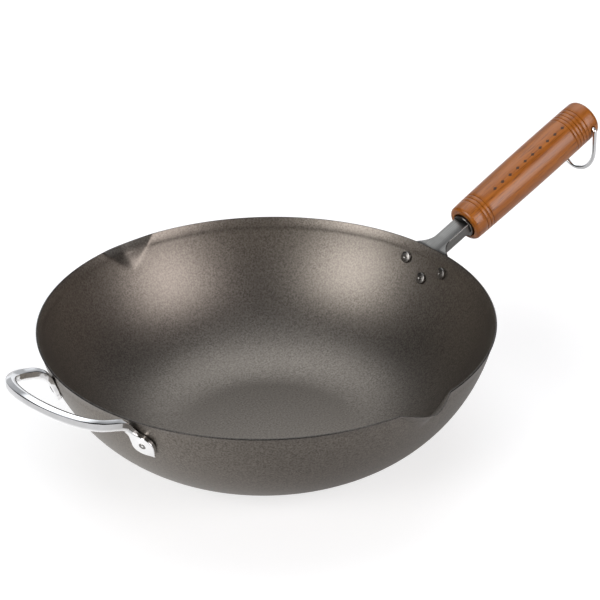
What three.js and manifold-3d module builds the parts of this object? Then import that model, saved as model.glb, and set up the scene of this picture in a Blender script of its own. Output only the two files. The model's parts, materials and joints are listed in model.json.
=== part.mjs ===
// A stir-fry pan: a thin metal bowl with two pouring spouts, a turned wooden grip held by a tie rod on a
// pressed bracket, a wire hanging ring at the grip's butt, and a bent-bar helper handle opposite.
// Millimetres, +Z up. The origin is the centre of the flat base, and +X runs along the long handle.
import * as THREE from 'three';
import { mergeVertices } from 'three/addons/utils/BufferGeometryUtils.js';
import Module from 'manifold-3d';

const wasm = await Module();
wasm.setup();

// Clearance kept between pieces that touch, and under the flat of a rivet's head on the curved wall
const seatGap = 0.3;
const rivetGap = 0.5;

// Bowl: flat base, one smooth wall curve, and a short flared lip
const rimRadius = 150;
const bowlHeight = 84.5;
const baseRadius = 55;
const baseBend = 46;
const wallBend = 43.4;
const wallSlope = 74.4;
const lipHeight = 7.5;
const lipFlare = 2.5;
const bowlSheet = 1.2;

// Pouring spouts, one on each side of the bowl
const spoutWidth = 42.4;
const spoutReach = 17;
const spoutOut = 6.6;
const spoutDip = 4.3;
const spoutRound = 0.3;

// Long handle's axis: how far past the rim and above it the grip starts, and how steeply it climbs
const gripReach = 32.3;
const gripLift = 6.4;
const gripRise = 20.4;

// Pressed bracket: a riveted flange on the wall, a bend beside the rim and a channel-shaped shank
const bracketSheet = 1.5;
const shankWidth = 13.8;
const flangeSide = 8.65;
const flangeFoot = 18;
const flangeMargin = 9;
const bendSetback = 7;
const flareLead = 4.4;
const flareLength = 14.1;
const flareEase = 0.7;
const flarePull = 0.4;
const cheekStart = 7.3;
const cheekNotch = 1.6;

// Rivets, placed by their distance below the rim
const rivetDiameter = 5;
const rivetHeadDiameter = 8.2;
const rivetHeadHeight = 1.8;
const rivetTailDiameter = 8;
const rivetTailHeight = 1.4;
const rivetSpread = 34.7;
const upperRivetDrop = 12.2;
const lowerRivetDrop = 21.7;

// Ferrule: a cup let into the front of the grip
const ferruleWall = 0.6;
const ferruleDepth = 7;
const ferruleFloor = 2;
const ferruleProud = 1;

// Turned wooden grip
const gripLength = 130;
const gripFrontDiameter = 27.1;
const gripButtDiameter = 28.6;
const gripBelly = 0.65;
const gripFrontRound = 2.5;
const gripButtRound = 4;
const grooveWidth = 1.4;
const grooveDepth = 0.5;
const frontGrooveCount = 3;
const frontGrooveInset = 10.2;
const frontGroovePitch = 3.1;
const buttGrooveCount = 5;
const buttGrooveInset = 12;
const buttGroovePitch = 3.2;

// Tie rod through the grip, with its washer and nut in a recess at the butt
const rodDiameter = 4;
const rodLead = 12;
const rodTip = 1;
const washerDiameter = 9;
const washerThickness = 0.8;
const nutFlats = 7;
const nutHeight = 3.2;
const nutSink = 1.5;

// Hanging ring: a wire bail whose bent-in ends turn in cross holes near the butt
const ringWire = 2.8;
const ringInset = 7.7;
const ringSideGap = 0.5;
const ringEngagement = 4.6;
const ringBend = 2.5;
const ringLeg = 16.5;
const ringBow = 17.8;

// Helper handle: a bent bar that ends in two leaf-shaped pads
const barDiameter = 7;
const barGap = 1.8;
const helperSpan = 86.6;
const helperReach = 29;
const helperNeck = 10.6;
const helperLift = 5.1;
const helperRise = 11.7;
const helperDish = 0.23;
const padSplay = 2.1;
const padDrop = 16.5;
const padWidth = 14.4;
const padAbove = 11;
const padBelow = 10.5;
const padTipSpread = 0.55;
const padTilt = 26;
const padThickness = 3;
const padSkin = 1;

// Facet counts
const bowlSides = 96;
const bowlRings = 10;
const sideGather = 0.55;
const turnedSides = 28;
const rivetSides = 14;
const domeSteps = 3;
const roundSteps = 3;
const bellySteps = 5;
const wireSides = 8;
const barSides = 8;
const sweepSteps = 48;
const loopSteps = 6;
const curveSteps = 8;

// Working values: how near corners are merged, how finely a height is found on the wall curve, how much of a
// wall a rounded edge may take, and the pull of a cubic curve that follows a quarter of a unit circle
const mergeDistance = 1e-4;
const wallHalvings = 40;
const roundShare = 0.8;
const quarterPull = 0.5523;

// Lengths and places that follow from the sizes above
const wallSlopeAngle = THREE.MathUtils.degToRad(wallSlope);
const riseAngle = THREE.MathUtils.degToRad(gripRise);
const lipAngle = Math.atan2(lipHeight, lipFlare);
const lipFoot = new THREE.Vector2(rimRadius - lipFlare, bowlHeight - lipHeight);
const rivetRadius = rivetDiameter / 2;
const rivetHoleRadius = rivetRadius + seatGap;
const upperRivetHeight = bowlHeight - upperRivetDrop;
const lowerRivetHeight = bowlHeight - lowerRivetDrop;
const flangeWidth = rivetSpread + 2 * flangeSide;
const rodRadius = rodDiameter / 2;
const rodHoleRadius = rodRadius + seatGap;
const shankHeight = 2 * (rodRadius + seatGap + bracketSheet);
const ferruleInnerRadius = Math.hypot(shankWidth, shankHeight) / 2 + seatGap;
const ferruleRadius = ferruleInnerRadius + ferruleWall;
const socketRadius = ferruleRadius + seatGap;
const socketDepth = ferruleDepth + ferruleFloor + seatGap;
const nutRadius = nutFlats / Math.sqrt(3);
const recessRadius = Math.max(washerDiameter / 2, nutRadius) + seatGap;
const washerStart = gripLength - nutSink - rodTip - nutHeight - washerThickness - seatGap;
const nutStart = washerStart + washerThickness + seatGap;
const recessFloor = washerStart - seatGap;
const pivotStation = gripLength - ringInset;
const ringHalfWidth = gripRadius(pivotStation) + ringSideGap + ringWire / 2;
const ringEnd = gripRadius(pivotStation) - ringEngagement;
const ringHoleRadius = ringWire / 2 + seatGap;
const padHeight = bowlHeight - padDrop;
const neckOut = barDiameter / 2 + barGap;
const neckTurn = Math.asin(helperSpan / 2 / (rimRadius + neckOut));
const padTurn = neckTurn + THREE.MathUtils.degToRad(padSplay);
const gripFront = new THREE.Vector3(rimRadius + gripReach, 0, bowlHeight + gripLift);
const handleMatrix = new THREE.Matrix4().makeRotationY(-riseAngle).setPosition(gripFront);

// Frames for flat outlines: drawn from behind and extruded along +X, or from the side and extruded along -Y
const alongX = new THREE.Matrix4().makeBasis(
  new THREE.Vector3(0, 1, 0), new THREE.Vector3(0, 0, 1), new THREE.Vector3(1, 0, 0),
);
const sideways = new THREE.Matrix4().makeBasis(
  new THREE.Vector3(1, 0, 0), new THREE.Vector3(0, 0, 1), new THREE.Vector3(0, -1, 0),
);

// Outer wall of the bowl from the edge of its base to the foot of its lip: x is radius, y is height
const wallCurve = new THREE.CubicBezierCurve(
  new THREE.Vector2(baseRadius, 0),
  new THREE.Vector2(baseRadius + baseBend, 0),
  new THREE.Vector2(
    lipFoot.x - wallBend * Math.cos(wallSlopeAngle),
    lipFoot.y - wallBend * Math.sin(wallSlopeAngle),
  ),
  lipFoot,
);

// Radius of the grip's turned surface at a distance from its front end
function gripRadius(station) {
  const share = station / gripLength;
  const taper = THREE.MathUtils.lerp(gripFrontDiameter / 2, gripButtDiameter / 2, share);
  return taper + 4 * gripBelly * share * (1 - share);
}

// A closed mesh with shared corners merged and collapsed triangles left out, as a solid for joins and cuts
function solidOf(geometry) {
  const bare = geometry.clone();
  bare.deleteAttribute('normal');
  bare.deleteAttribute('uv');
  const merged = mergeVertices(bare, mergeDistance);
  const corners = merged.index.array;
  const kept = [];
  for (let first = 0; first < corners.length; first += 3) {
    const [a, b, c] = corners.slice(first, first + 3);
    if (a !== b && b !== c && c !== a) {
      kept.push(a, b, c);
    }
  }
  return new wasm.Manifold(new wasm.Mesh({
    numProp: 3,
    vertProperties: new Float32Array(merged.attributes.position.array),
    triVerts: new Uint32Array(kept),
  }));
}

// The mesh of a solid
function geometryOf(solid) {
  const mesh = solid.getMesh();
  const geometry = new THREE.BufferGeometry();
  geometry.setAttribute('position', new THREE.BufferAttribute(new Float32Array(mesh.vertProperties), 3));
  geometry.setIndex(new THREE.BufferAttribute(new Uint32Array(mesh.triVerts), 1));
  geometry.computeVertexNormals();
  return geometry;
}

// A profile of (radius, distance) points turned about the X axis
function turnedAlongX(points, sides) {
  return new THREE.LatheGeometry(points, sides).rotateZ(-Math.PI / 2);
}

// A profile of (radius, height) points turned about the Z axis, with its sides gathered towards the spouts
function turnedAlongZ(points) {
  const geometry = new THREE.LatheGeometry(points, bowlSides).rotateX(Math.PI / 2);
  const places = geometry.attributes.position;
  for (let index = 0; index < places.count; index += 1) {
    const radius = Math.hypot(places.getX(index), places.getY(index));
    const angle = Math.atan2(places.getY(index), places.getX(index));
    const gathered = angle + (sideGather / 2) * Math.sin(2 * angle);
    places.setXY(index, radius * Math.cos(gathered), radius * Math.sin(gathered));
  }
  return geometry;
}

// A flat outline extruded between two distances along the third axis of a frame
function extruded(outline, from, to, frame) {
  const options = { depth: to - from, bevelEnabled: false, curveSegments: curveSteps };
  return new THREE.ExtrudeGeometry(outline, options).translate(0, 0, from).applyMatrix4(frame);
}

// A section swept along a path
function swept(section, path) {
  return new THREE.ExtrudeGeometry(section, { steps: sweepSteps, extrudePath: path });
}

// A regular outline with the given number of corners
function roundOutline(radius, corners) {
  const outline = new THREE.Shape();
  for (let corner = 0; corner < corners; corner += 1) {
    const angle = (2 * Math.PI * corner) / corners;
    const place = [radius * Math.cos(angle), radius * Math.sin(angle)];
    if (corner === 0) {
      outline.moveTo(...place);
    } else {
      outline.lineTo(...place);
    }
  }
  outline.closePath();
  return outline;
}

// A quarter of an ellipse as (radius, distance) points
function quarterRound(centre, across, along, startAngle, endAngle, steps) {
  const curve = new THREE.EllipseCurve(
    centre.x, centre.y, across, along, startAngle, endAngle, endAngle < startAngle,
  );
  return curve.getPoints(steps);
}

// The bowl's outer profile moved outwards by an offset, from the axis to the rim
function bowlProfile(offset) {
  const points = [new THREE.Vector2(0, -offset)];
  for (let ring = 0; ring <= bowlRings; ring += 1) {
    const place = wallCurve.getPoint(ring / bowlRings);
    const along = wallCurve.getTangent(ring / bowlRings);
    points.push(new THREE.Vector2(place.x + offset * along.y, place.y - offset * along.x));
  }
  points.push(new THREE.Vector2(rimRadius + offset / Math.sin(lipAngle), bowlHeight));
  return points;
}

// The bowl's outer form filled up to the rim and grown by an offset
function bowlForm(offset) {
  return solidOf(turnedAlongZ([...bowlProfile(offset), new THREE.Vector2(0, bowlHeight)]));
}

// Radius and slope of the outer wall at a height
function wallAt(height) {
  if (height >= lipFoot.y) {
    const climb = (height - lipFoot.y) / lipHeight;
    return { radius: lipFoot.x + climb * lipFlare, slope: lipAngle };
  }
  let low = 0;
  let high = 1;
  for (let halving = 0; halving < wallHalvings; halving += 1) {
    const middle = (low + high) / 2;
    if (wallCurve.getPoint(middle).y < height) {
      low = middle;
    } else {
      high = middle;
    }
  }
  const along = wallCurve.getTangent(low);
  return { radius: wallCurve.getPoint(low).x, slope: Math.atan2(along.y, along.x) };
}

// A frame on the outer wall: X points out of the bowl, Y round it and Z up the wall
function wallFrame(angle, height) {
  const wall = wallAt(height);
  const leanOut = new THREE.Matrix4().makeRotationY(Math.PI / 2 - wall.slope);
  return new THREE.Matrix4()
    .makeRotationZ(angle)
    .multiply(new THREE.Matrix4().makeTranslation(wall.radius, 0, height))
    .multiply(leanOut);
}

// A point that stands a distance out from the outer wall
function offWall(angle, height, distance) {
  return new THREE.Vector3(distance, 0, 0).applyMatrix4(wallFrame(angle, height));
}

// A round hole through the wall, from inside the bowl to a distance outside the wall
function wallHole(frame, outside) {
  const reach = bowlSheet + rivetHeadHeight;
  const points = [
    new THREE.Vector2(0, -reach),
    new THREE.Vector2(rivetHoleRadius, -reach),
    new THREE.Vector2(rivetHoleRadius, outside),
    new THREE.Vector2(0, outside),
  ];
  return solidOf(turnedAlongX(points, rivetSides).applyMatrix4(frame));
}

// Pushes the rim out and down into a spout on each side, V-shaped with a rounded bottom
function pourSpouts(geometry) {
  const rounded = (across) => Math.hypot(across, spoutRound) - spoutRound;
  const places = geometry.attributes.position;
  for (let index = 0; index < places.count; index += 1) {
    const x = places.getX(index);
    const y = places.getY(index);
    const z = places.getZ(index);
    const climb = (z - bowlHeight + spoutReach) / spoutReach;
    if (climb > 0) {
      const radius = Math.hypot(x, y);
      const arc = Math.abs(Math.atan2(x, Math.abs(y))) * rimRadius;
      const across = arc / ((climb * spoutWidth) / 2);
      const trough = 1 - rounded(Math.min(across, 1)) / rounded(1);
      const moved = radius + climb * spoutOut * trough;
      places.setXYZ(index, (x / radius) * moved, (y / radius) * moved, z - climb * spoutDip * trough);
    }
  }
  return geometry;
}

// Where each rivet passes through the wall
const rivetTurn = Math.asin(rivetSpread / 2 / wallAt(upperRivetHeight).radius);
const rivetFrames = {
  handle_rivet_left: wallFrame(rivetTurn, upperRivetHeight),
  handle_rivet_right: wallFrame(-rivetTurn, upperRivetHeight),
  handle_rivet_lower: wallFrame(0, lowerRivetHeight),
};
const helperRivetFrames = {
  helper_rivet_left: wallFrame(Math.PI - padTurn, padHeight),
  helper_rivet_right: wallFrame(Math.PI + padTurn, padHeight),
};

function panBody() {
  const profile = [...bowlProfile(0), ...bowlProfile(-bowlSheet).reverse()];
  let bowl = solidOf(pourSpouts(turnedAlongZ(profile)));
  for (const frame of [...Object.values(rivetFrames), ...Object.values(helperRivetFrames)]) {
    bowl = bowl.subtract(wallHole(frame, bowlSheet + rivetTailHeight));
  }
  return geometryOf(bowl);
}

// The corner where a line parallel to the lip meets a line parallel to the handle's axis, in the plane y = 0,
// and how far that corner is from the lip's foot
function bendCorner(fromWall, aboveAxis) {
  const start = new THREE.Vector2(
    lipFoot.x + fromWall * Math.sin(lipAngle),
    lipFoot.y - fromWall * Math.cos(lipAngle),
  );
  const axisStart = new THREE.Vector2(
    gripFront.x - aboveAxis * Math.sin(riseAngle),
    gripFront.z + aboveAxis * Math.cos(riseAngle),
  );
  const along = new THREE.Vector2(Math.cos(lipAngle), Math.sin(lipAngle));
  const axis = new THREE.Vector2(Math.cos(riseAngle), Math.sin(riseAngle));
  const distance = axisStart.clone().sub(start).cross(axis) / along.cross(axis);
  return { corner: start.addScaledVector(along, distance), climb: distance };
}

// Side view of the plate that leaves the flange, bends beside the rim and runs on as the shank's roof
function plateOutline(upper, lower, runOut) {
  const along = new THREE.Vector2(Math.cos(lipAngle), Math.sin(lipAngle));
  const axis = new THREE.Vector2(Math.cos(riseAngle), Math.sin(riseAngle));
  const at = (bend, direction, distance) => (
    bend.corner.clone().addScaledVector(direction, distance).toArray()
  );
  const foot = -Math.max(bendSetback, upper.climb) - bracketSheet / 4;
  const outline = new THREE.Shape();
  outline.moveTo(...at(upper, along, foot));
  outline.lineTo(...at(upper, along, -bendSetback));
  outline.quadraticCurveTo(...upper.corner.toArray(), ...at(upper, axis, bendSetback));
  outline.lineTo(...at(upper, axis, runOut));
  outline.lineTo(...at(lower, axis, runOut));
  outline.lineTo(...at(lower, axis, bendSetback));
  outline.quadraticCurveTo(...lower.corner.toArray(), ...at(lower, along, -bendSetback));
  outline.lineTo(...at(lower, along, foot));
  outline.closePath();
  return outline;
}

// Plan view of the plate: wide on the wall, drawn in by a smooth flare to the width of the shank
function flareOutline(cornerStation, runOut) {
  const wide = flangeWidth / 2;
  const narrow = shankWidth / 2;
  const start = cornerStation - flareLead;
  const end = cornerStation + flareLength;
  const pull = (wide - narrow) * flarePull;
  const lead = start + flareLead * flareEase;
  const tail = end - flareLength / 2;
  const outline = new THREE.Shape();
  outline.moveTo(start - flangeWidth, -wide);
  outline.lineTo(start, -wide);
  outline.bezierCurveTo(lead, -narrow - pull, tail, -narrow, end, -narrow);
  outline.lineTo(cornerStation + runOut, -narrow);
  outline.lineTo(cornerStation + runOut, narrow);
  outline.lineTo(end, narrow);
  outline.bezierCurveTo(tail, narrow, lead, narrow + pull, start, wide);
  outline.lineTo(start - flangeWidth, wide);
  outline.closePath();
  return outline;
}

// Front view of the flange: widest at the upper rivets, drawn in to a rounded foot below the lower one
function flangeOutline(top) {
  const wide = flangeWidth / 2;
  const foot = flangeFoot / 2;
  const low = lowerRivetHeight - flangeMargin;
  const outline = new THREE.Shape();
  outline.moveTo(-shankWidth, top);
  outline.quadraticCurveTo(-wide, top, -wide, upperRivetHeight);
  outline.quadraticCurveTo(-wide, lowerRivetHeight, -foot, low + foot / 2);
  outline.quadraticCurveTo(-foot / 2, low, 0, low);
  outline.quadraticCurveTo(foot / 2, low, foot, low + foot / 2);
  outline.quadraticCurveTo(wide, lowerRivetHeight, wide, upperRivetHeight);
  outline.quadraticCurveTo(wide, top, shankWidth, top);
  outline.closePath();
  return outline;
}

// Side view of the shank's cheeks, hollowed at the end next to the bowl
function cheekOutline(start, end) {
  const half = shankHeight / 2;
  const outline = new THREE.Shape();
  outline.moveTo(start, half);
  outline.quadraticCurveTo(start + 2 * cheekNotch, 0, start, -half);
  outline.lineTo(end, -half);
  outline.lineTo(end, half);
  outline.closePath();
  return outline;
}

function handleBracket() {
  const standOff = seatGap + bracketSheet / 4;
  const upper = bendCorner(standOff, shankHeight / 2);
  const lower = bendCorner(standOff + bracketSheet, shankHeight / 2 - bracketSheet);
  const cornerPlace = new THREE.Vector3(upper.corner.x, 0, upper.corner.y);
  const cornerStation = cornerPlace.applyMatrix4(handleMatrix.clone().invert()).x;
  const shankEnd = ferruleDepth - seatGap;
  const cheekFront = cornerStation + cheekStart;
  const runOut = shankEnd - cornerStation;
  const sideForm = extruded(plateOutline(upper, lower, runOut), -flangeWidth, flangeWidth, sideways);
  const planForm = extruded(flareOutline(cornerStation, runOut), -rimRadius, rimRadius, handleMatrix);
  const plate = solidOf(sideForm).intersect(solidOf(planForm));
  const flangeTop = bowlHeight - lipHeight / 2;
  const flangeFront = extruded(flangeOutline(flangeTop), rimRadius / 2, 2 * rimRadius, alongX);
  const flange = solidOf(flangeFront)
    .intersect(bowlForm(seatGap + bracketSheet))
    .subtract(bowlForm(seatGap));
  const half = shankWidth / 2;
  const cheeksFrame = handleMatrix.clone().multiply(sideways);
  const cheekBlock = solidOf(extruded(cheekOutline(cheekFront, shankEnd), -half, half, cheeksFrame));
  const channelLength = 2 * (shankEnd - cheekFront);
  const channel = new THREE.BoxGeometry(channelLength, shankWidth - 2 * bracketSheet, shankHeight);
  channel.translate((cheekFront + shankEnd) / 2, 0, -bracketSheet).applyMatrix4(handleMatrix);
  let bracket = plate.add(flange).add(cheekBlock.subtract(solidOf(channel)));
  for (const frame of Object.values(rivetFrames)) {
    bracket = bracket.subtract(wallHole(frame, 2 * bracketSheet + rivetTailHeight));
  }
  return geometryOf(bracket);
}

// A rivet along X: domed head inside the bowl, shank, and a domed tail beyond what it holds
function wallRivet(heldThickness) {
  const headBase = -bowlSheet - rivetGap;
  const tailBase = seatGap + heldThickness + rivetGap;
  const head = new THREE.Vector2(0, headBase);
  const tail = new THREE.Vector2(0, tailBase);
  const points = [
    ...quarterRound(head, rivetHeadDiameter / 2, rivetHeadHeight, -Math.PI / 2, 0, domeSteps),
    new THREE.Vector2(rivetRadius, headBase),
    new THREE.Vector2(rivetRadius, tailBase),
    ...quarterRound(tail, rivetTailDiameter / 2, rivetTailHeight, 0, Math.PI / 2, domeSteps),
  ];
  return turnedAlongX(points, rivetSides);
}

// A rivet along X whose plain end stays hidden inside a pad
function blindRivet() {
  const head = new THREE.Vector2(0, -bowlSheet - rivetGap);
  const end = padThickness - padSkin;
  const points = [
    ...quarterRound(head, rivetHeadDiameter / 2, rivetHeadHeight, -Math.PI / 2, 0, domeSteps),
    new THREE.Vector2(rivetRadius, head.y),
    new THREE.Vector2(rivetRadius, end),
    new THREE.Vector2(0, end),
  ];
  return turnedAlongX(points, rivetSides);
}

function ferrule() {
  const points = [
    new THREE.Vector2(rodHoleRadius, ferruleDepth),
    new THREE.Vector2(ferruleInnerRadius, ferruleDepth),
    new THREE.Vector2(ferruleInnerRadius, -ferruleProud),
    new THREE.Vector2(ferruleRadius, -ferruleProud),
    new THREE.Vector2(ferruleRadius, ferruleDepth + ferruleFloor),
    new THREE.Vector2(rodHoleRadius, ferruleDepth + ferruleFloor),
    new THREE.Vector2(rodHoleRadius, ferruleDepth),
  ];
  return turnedAlongX(points, turnedSides);
}

// The grip's turned surface with its decorative grooves, from the front round to the butt round
function gripSurface(start, end) {
  const grooves = [];
  for (let ring = 0; ring < frontGrooveCount; ring += 1) {
    grooves.push(frontGrooveInset + ring * frontGroovePitch);
  }
  for (let ring = buttGrooveCount - 1; ring >= 0; ring -= 1) {
    grooves.push(gripLength - buttGrooveInset - ring * buttGroovePitch);
  }
  const points = [];
  for (const groove of grooves) {
    for (const [shift, depth] of [[-grooveWidth / 2, 0], [0, grooveDepth], [grooveWidth / 2, 0]]) {
      points.push(new THREE.Vector2(gripRadius(groove + shift) - depth, groove + shift));
    }
  }
  const plainStart = grooves[frontGrooveCount - 1] + grooveWidth / 2;
  const plainEnd = grooves[frontGrooveCount] - grooveWidth / 2;
  for (let step = 1; step < bellySteps; step += 1) {
    const station = THREE.MathUtils.lerp(plainStart, plainEnd, step / bellySteps);
    points.push(new THREE.Vector2(gripRadius(station), station));
  }
  points.sort((first, second) => first.y - second.y);
  return points.filter((point) => point.y > start && point.y < end);
}

function woodenGrip() {
  const frontRadius = gripRadius(0);
  const buttRadius = gripRadius(gripLength);
  const frontRound = Math.min(gripFrontRound, (frontRadius - socketRadius) * roundShare);
  const buttRound = Math.min(gripButtRound, (buttRadius - recessRadius) * roundShare);
  const frontCentre = new THREE.Vector2(frontRadius - frontRound, frontRound);
  const buttCentre = new THREE.Vector2(buttRadius - buttRound, gripLength - buttRound);
  const points = [
    new THREE.Vector2(rodHoleRadius, recessFloor),
    new THREE.Vector2(rodHoleRadius, socketDepth),
    new THREE.Vector2(socketRadius, socketDepth),
    new THREE.Vector2(socketRadius, 0),
    ...quarterRound(frontCentre, frontRound, frontRound, -Math.PI / 2, 0, roundSteps),
    ...gripSurface(frontRound, gripLength - buttRound),
    ...quarterRound(buttCentre, buttRound, buttRound, 0, Math.PI / 2, roundSteps),
    new THREE.Vector2(recessRadius, gripLength),
    new THREE.Vector2(recessRadius, recessFloor),
    new THREE.Vector2(rodHoleRadius, recessFloor),
  ];
  let grip = solidOf(turnedAlongX(points, turnedSides));
  const depth = ringEngagement + seatGap;
  for (const side of [-1, 1]) {
    const hole = new THREE.CylinderGeometry(ringHoleRadius, ringHoleRadius, 2 * depth, wireSides);
    hole.translate(pivotStation, side * gripRadius(pivotStation), 0);
    grip = grip.subtract(solidOf(hole));
  }
  return geometryOf(grip);
}

function tieRod() {
  const end = nutStart + nutHeight + rodTip;
  const chamfer = rodTip / 2;
  const points = [
    new THREE.Vector2(0, -rodLead),
    new THREE.Vector2(rodRadius, -rodLead),
    new THREE.Vector2(rodRadius, end - chamfer),
    new THREE.Vector2(rodRadius - chamfer, end),
    new THREE.Vector2(0, end),
  ];
  return turnedAlongX(points, rivetSides);
}

// A plate across the X axis with a hole for the tie rod
function rodPlate(outline, start, thickness) {
  outline.holes.push(roundOutline(rodHoleRadius, rivetSides));
  return extruded(outline, start, start + thickness, alongX);
}

function rodWasher() {
  return rodPlate(roundOutline(washerDiameter / 2, turnedSides), washerStart, washerThickness);
}

function rodNut() {
  return rodPlate(roundOutline(nutRadius, 6), nutStart, nutHeight);
}

// The bail hangs in the plane x = 0 from a pivot at the origin
function hangingRing() {
  const place = (y, z) => new THREE.Vector3(0, y, z);
  const half = ringHalfWidth;
  const low = -ringLeg - ringBow;
  const bowStart = -ringLeg - quarterPull * ringBow;
  const inner = quarterPull * half;
  const bend = half - ringBend;
  const path = new THREE.CurvePath();
  path.add(new THREE.LineCurve3(place(-ringEnd, 0), place(-bend, 0)));
  path.add(new THREE.QuadraticBezierCurve3(place(-bend, 0), place(-half, 0), place(-half, -ringBend)));
  path.add(new THREE.LineCurve3(place(-half, -ringBend), place(-half, -ringLeg)));
  path.add(new THREE.CubicBezierCurve3(
    place(-half, -ringLeg), place(-half, bowStart), place(-inner, low), place(0, low),
  ));
  path.add(new THREE.CubicBezierCurve3(
    place(0, low), place(inner, low), place(half, bowStart), place(half, -ringLeg),
  ));
  path.add(new THREE.LineCurve3(place(half, -ringLeg), place(half, -ringBend)));
  path.add(new THREE.QuadraticBezierCurve3(place(half, -ringBend), place(half, 0), place(bend, 0)));
  path.add(new THREE.LineCurve3(place(bend, 0), place(ringEnd, 0)));
  return swept(roundOutline(ringWire / 2, wireSides), path);
}

// Centre line of the helper bar: up off one pad, out past the rim, round the loop and down to the other pad
function helperPath() {
  const climb = (padHeight + bowlHeight) / 2;
  const points = [];
  for (const side of [1, -1]) {
    const leg = [
      offWall(Math.PI + side * padTurn, padHeight - padBelow / 4, 0),
      offWall(Math.PI + side * padTurn, padHeight, padThickness / 4),
      offWall(Math.PI + (side * (padTurn + neckTurn)) / 2, climb, padThickness),
      offWall(Math.PI + side * neckTurn, bowlHeight, neckOut),
    ];
    points.push(...(side > 0 ? leg : leg.reverse()));
    if (side > 0) {
      for (let step = 0; step <= loopSteps; step += 1) {
        const turn = (Math.PI * step) / loopSteps;
        const out = Math.sin(turn);
        points.push(new THREE.Vector3(
          -rimRadius - helperNeck - helperReach * out,
          (-helperSpan / 2) * Math.cos(turn),
          bowlHeight + helperLift + helperRise * THREE.MathUtils.lerp(out, out * out, helperDish),
        ));
      }
    }
  }
  return new THREE.CatmullRomCurve3(points);
}

// Leaf-shaped outline of a pad: a rounded tip below, drawn in above to the width of the bar
function padOutline() {
  const wide = padWidth / 2;
  const neck = barDiameter / 2;
  const tip = wide * padTipSpread;
  const outline = new THREE.Shape();
  outline.moveTo(0, -padBelow);
  outline.bezierCurveTo(tip, -padBelow, wide, -padBelow / 2, wide, 0);
  outline.bezierCurveTo(wide, padAbove / 2, neck, padAbove / 2, neck, padAbove);
  outline.lineTo(-neck, padAbove);
  outline.bezierCurveTo(-neck, padAbove / 2, -wide, padAbove / 2, -wide, 0);
  outline.bezierCurveTo(-wide, -padBelow / 2, -tip, -padBelow, 0, -padBelow);
  return outline;
}

function helperHandle() {
  const seat = bowlForm(seatGap);
  const padSurface = bowlForm(seatGap + padThickness);
  let handle = solidOf(swept(roundOutline(barDiameter / 2, barSides), helperPath()));
  for (const [name, frame] of Object.entries(helperRivetFrames)) {
    const side = name.endsWith('right') ? 1 : -1;
    const lean = new THREE.Matrix4().makeRotationX(side * THREE.MathUtils.degToRad(padTilt));
    const padFrame = frame.clone().multiply(lean).multiply(alongX);
    const pad = solidOf(extruded(padOutline(), -padWidth, padWidth, padFrame)).intersect(padSurface);
    handle = handle.add(pad);
  }
  handle = handle.subtract(seat);
  for (const frame of Object.values(helperRivetFrames)) {
    handle = handle.subtract(wallHole(frame, seatGap + padThickness - padSkin));
  }
  return geometryOf(handle);
}

// Finishes
const titanium = { color: 0x6b655d, roughness: 0.5, metalness: 0.9 };
const pressedSteel = { color: 0x77746f, roughness: 0.35, metalness: 1 };
const rivetSteel = { color: 0x5d5953, roughness: 0.4, metalness: 1 };
const turnedWood = { color: 0xa5622f, roughness: 0.45, metalness: 0 };
const platedSteel = { color: 0x9c9c9c, roughness: 0.3, metalness: 1 };
const chrome = { color: 0xe6e6e6, roughness: 0.08, metalness: 1 };

const pan = new THREE.Group();
const longHandle = new THREE.Group();
longHandle.applyMatrix4(handleMatrix);
pan.add(longHandle);

function addPiece(parent, name, geometry, finish) {
  const piece = new THREE.Mesh(geometry, new THREE.MeshStandardMaterial(finish));
  piece.name = name;
  parent.add(piece);
  return piece;
}

addPiece(pan, 'pan_body', panBody(), titanium);
addPiece(pan, 'handle_bracket', handleBracket(), pressedSteel);
for (const [name, frame] of Object.entries(rivetFrames)) {
  addPiece(pan, name, wallRivet(bracketSheet), rivetSteel).applyMatrix4(frame);
}
addPiece(longHandle, 'ferrule', ferrule(), pressedSteel);
addPiece(longHandle, 'wooden_grip', woodenGrip(), turnedWood);
addPiece(longHandle, 'tie_rod', tieRod(), platedSteel);
addPiece(longHandle, 'rod_washer', rodWasher(), platedSteel);
addPiece(longHandle, 'rod_nut', rodNut(), platedSteel);
const pivot = new THREE.Vector3(pivotStation, 0, 0).applyMatrix4(handleMatrix);
addPiece(pan, 'hanging_ring', hangingRing(), chrome).position.copy(pivot);
addPiece(pan, 'helper_handle', helperHandle(), chrome);
for (const [name, frame] of Object.entries(helperRivetFrames)) {
  addPiece(pan, name, blindRivet(), rivetSteel).applyMatrix4(frame);
}

export default pan;
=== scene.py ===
"""Looks of a stir-fry pan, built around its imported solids.

Metres, +Z up. The origin is the centre of the flat base, and +X runs along the long handle.
"""
import json
import logging
import math
from dataclasses import dataclass, field
from enum import Enum
from typing import Any, Callable, Iterable, Sequence

import bmesh
import bpy
from mathutils import Matrix, Vector


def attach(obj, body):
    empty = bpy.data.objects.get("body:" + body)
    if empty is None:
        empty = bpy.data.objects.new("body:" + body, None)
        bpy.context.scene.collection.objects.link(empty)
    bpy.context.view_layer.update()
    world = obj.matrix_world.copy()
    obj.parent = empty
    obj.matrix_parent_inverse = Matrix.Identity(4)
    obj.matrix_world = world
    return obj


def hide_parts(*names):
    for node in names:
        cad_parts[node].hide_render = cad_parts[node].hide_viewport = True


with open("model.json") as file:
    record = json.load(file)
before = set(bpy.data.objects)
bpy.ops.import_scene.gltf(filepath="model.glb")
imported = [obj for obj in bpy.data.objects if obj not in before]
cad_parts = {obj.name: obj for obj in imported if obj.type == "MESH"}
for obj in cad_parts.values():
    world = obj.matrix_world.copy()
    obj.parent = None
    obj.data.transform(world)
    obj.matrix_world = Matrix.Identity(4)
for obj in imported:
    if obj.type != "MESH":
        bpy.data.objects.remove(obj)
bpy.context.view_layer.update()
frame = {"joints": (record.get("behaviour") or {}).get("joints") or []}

log = logging.getLogger("stir_fry_pan")

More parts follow.
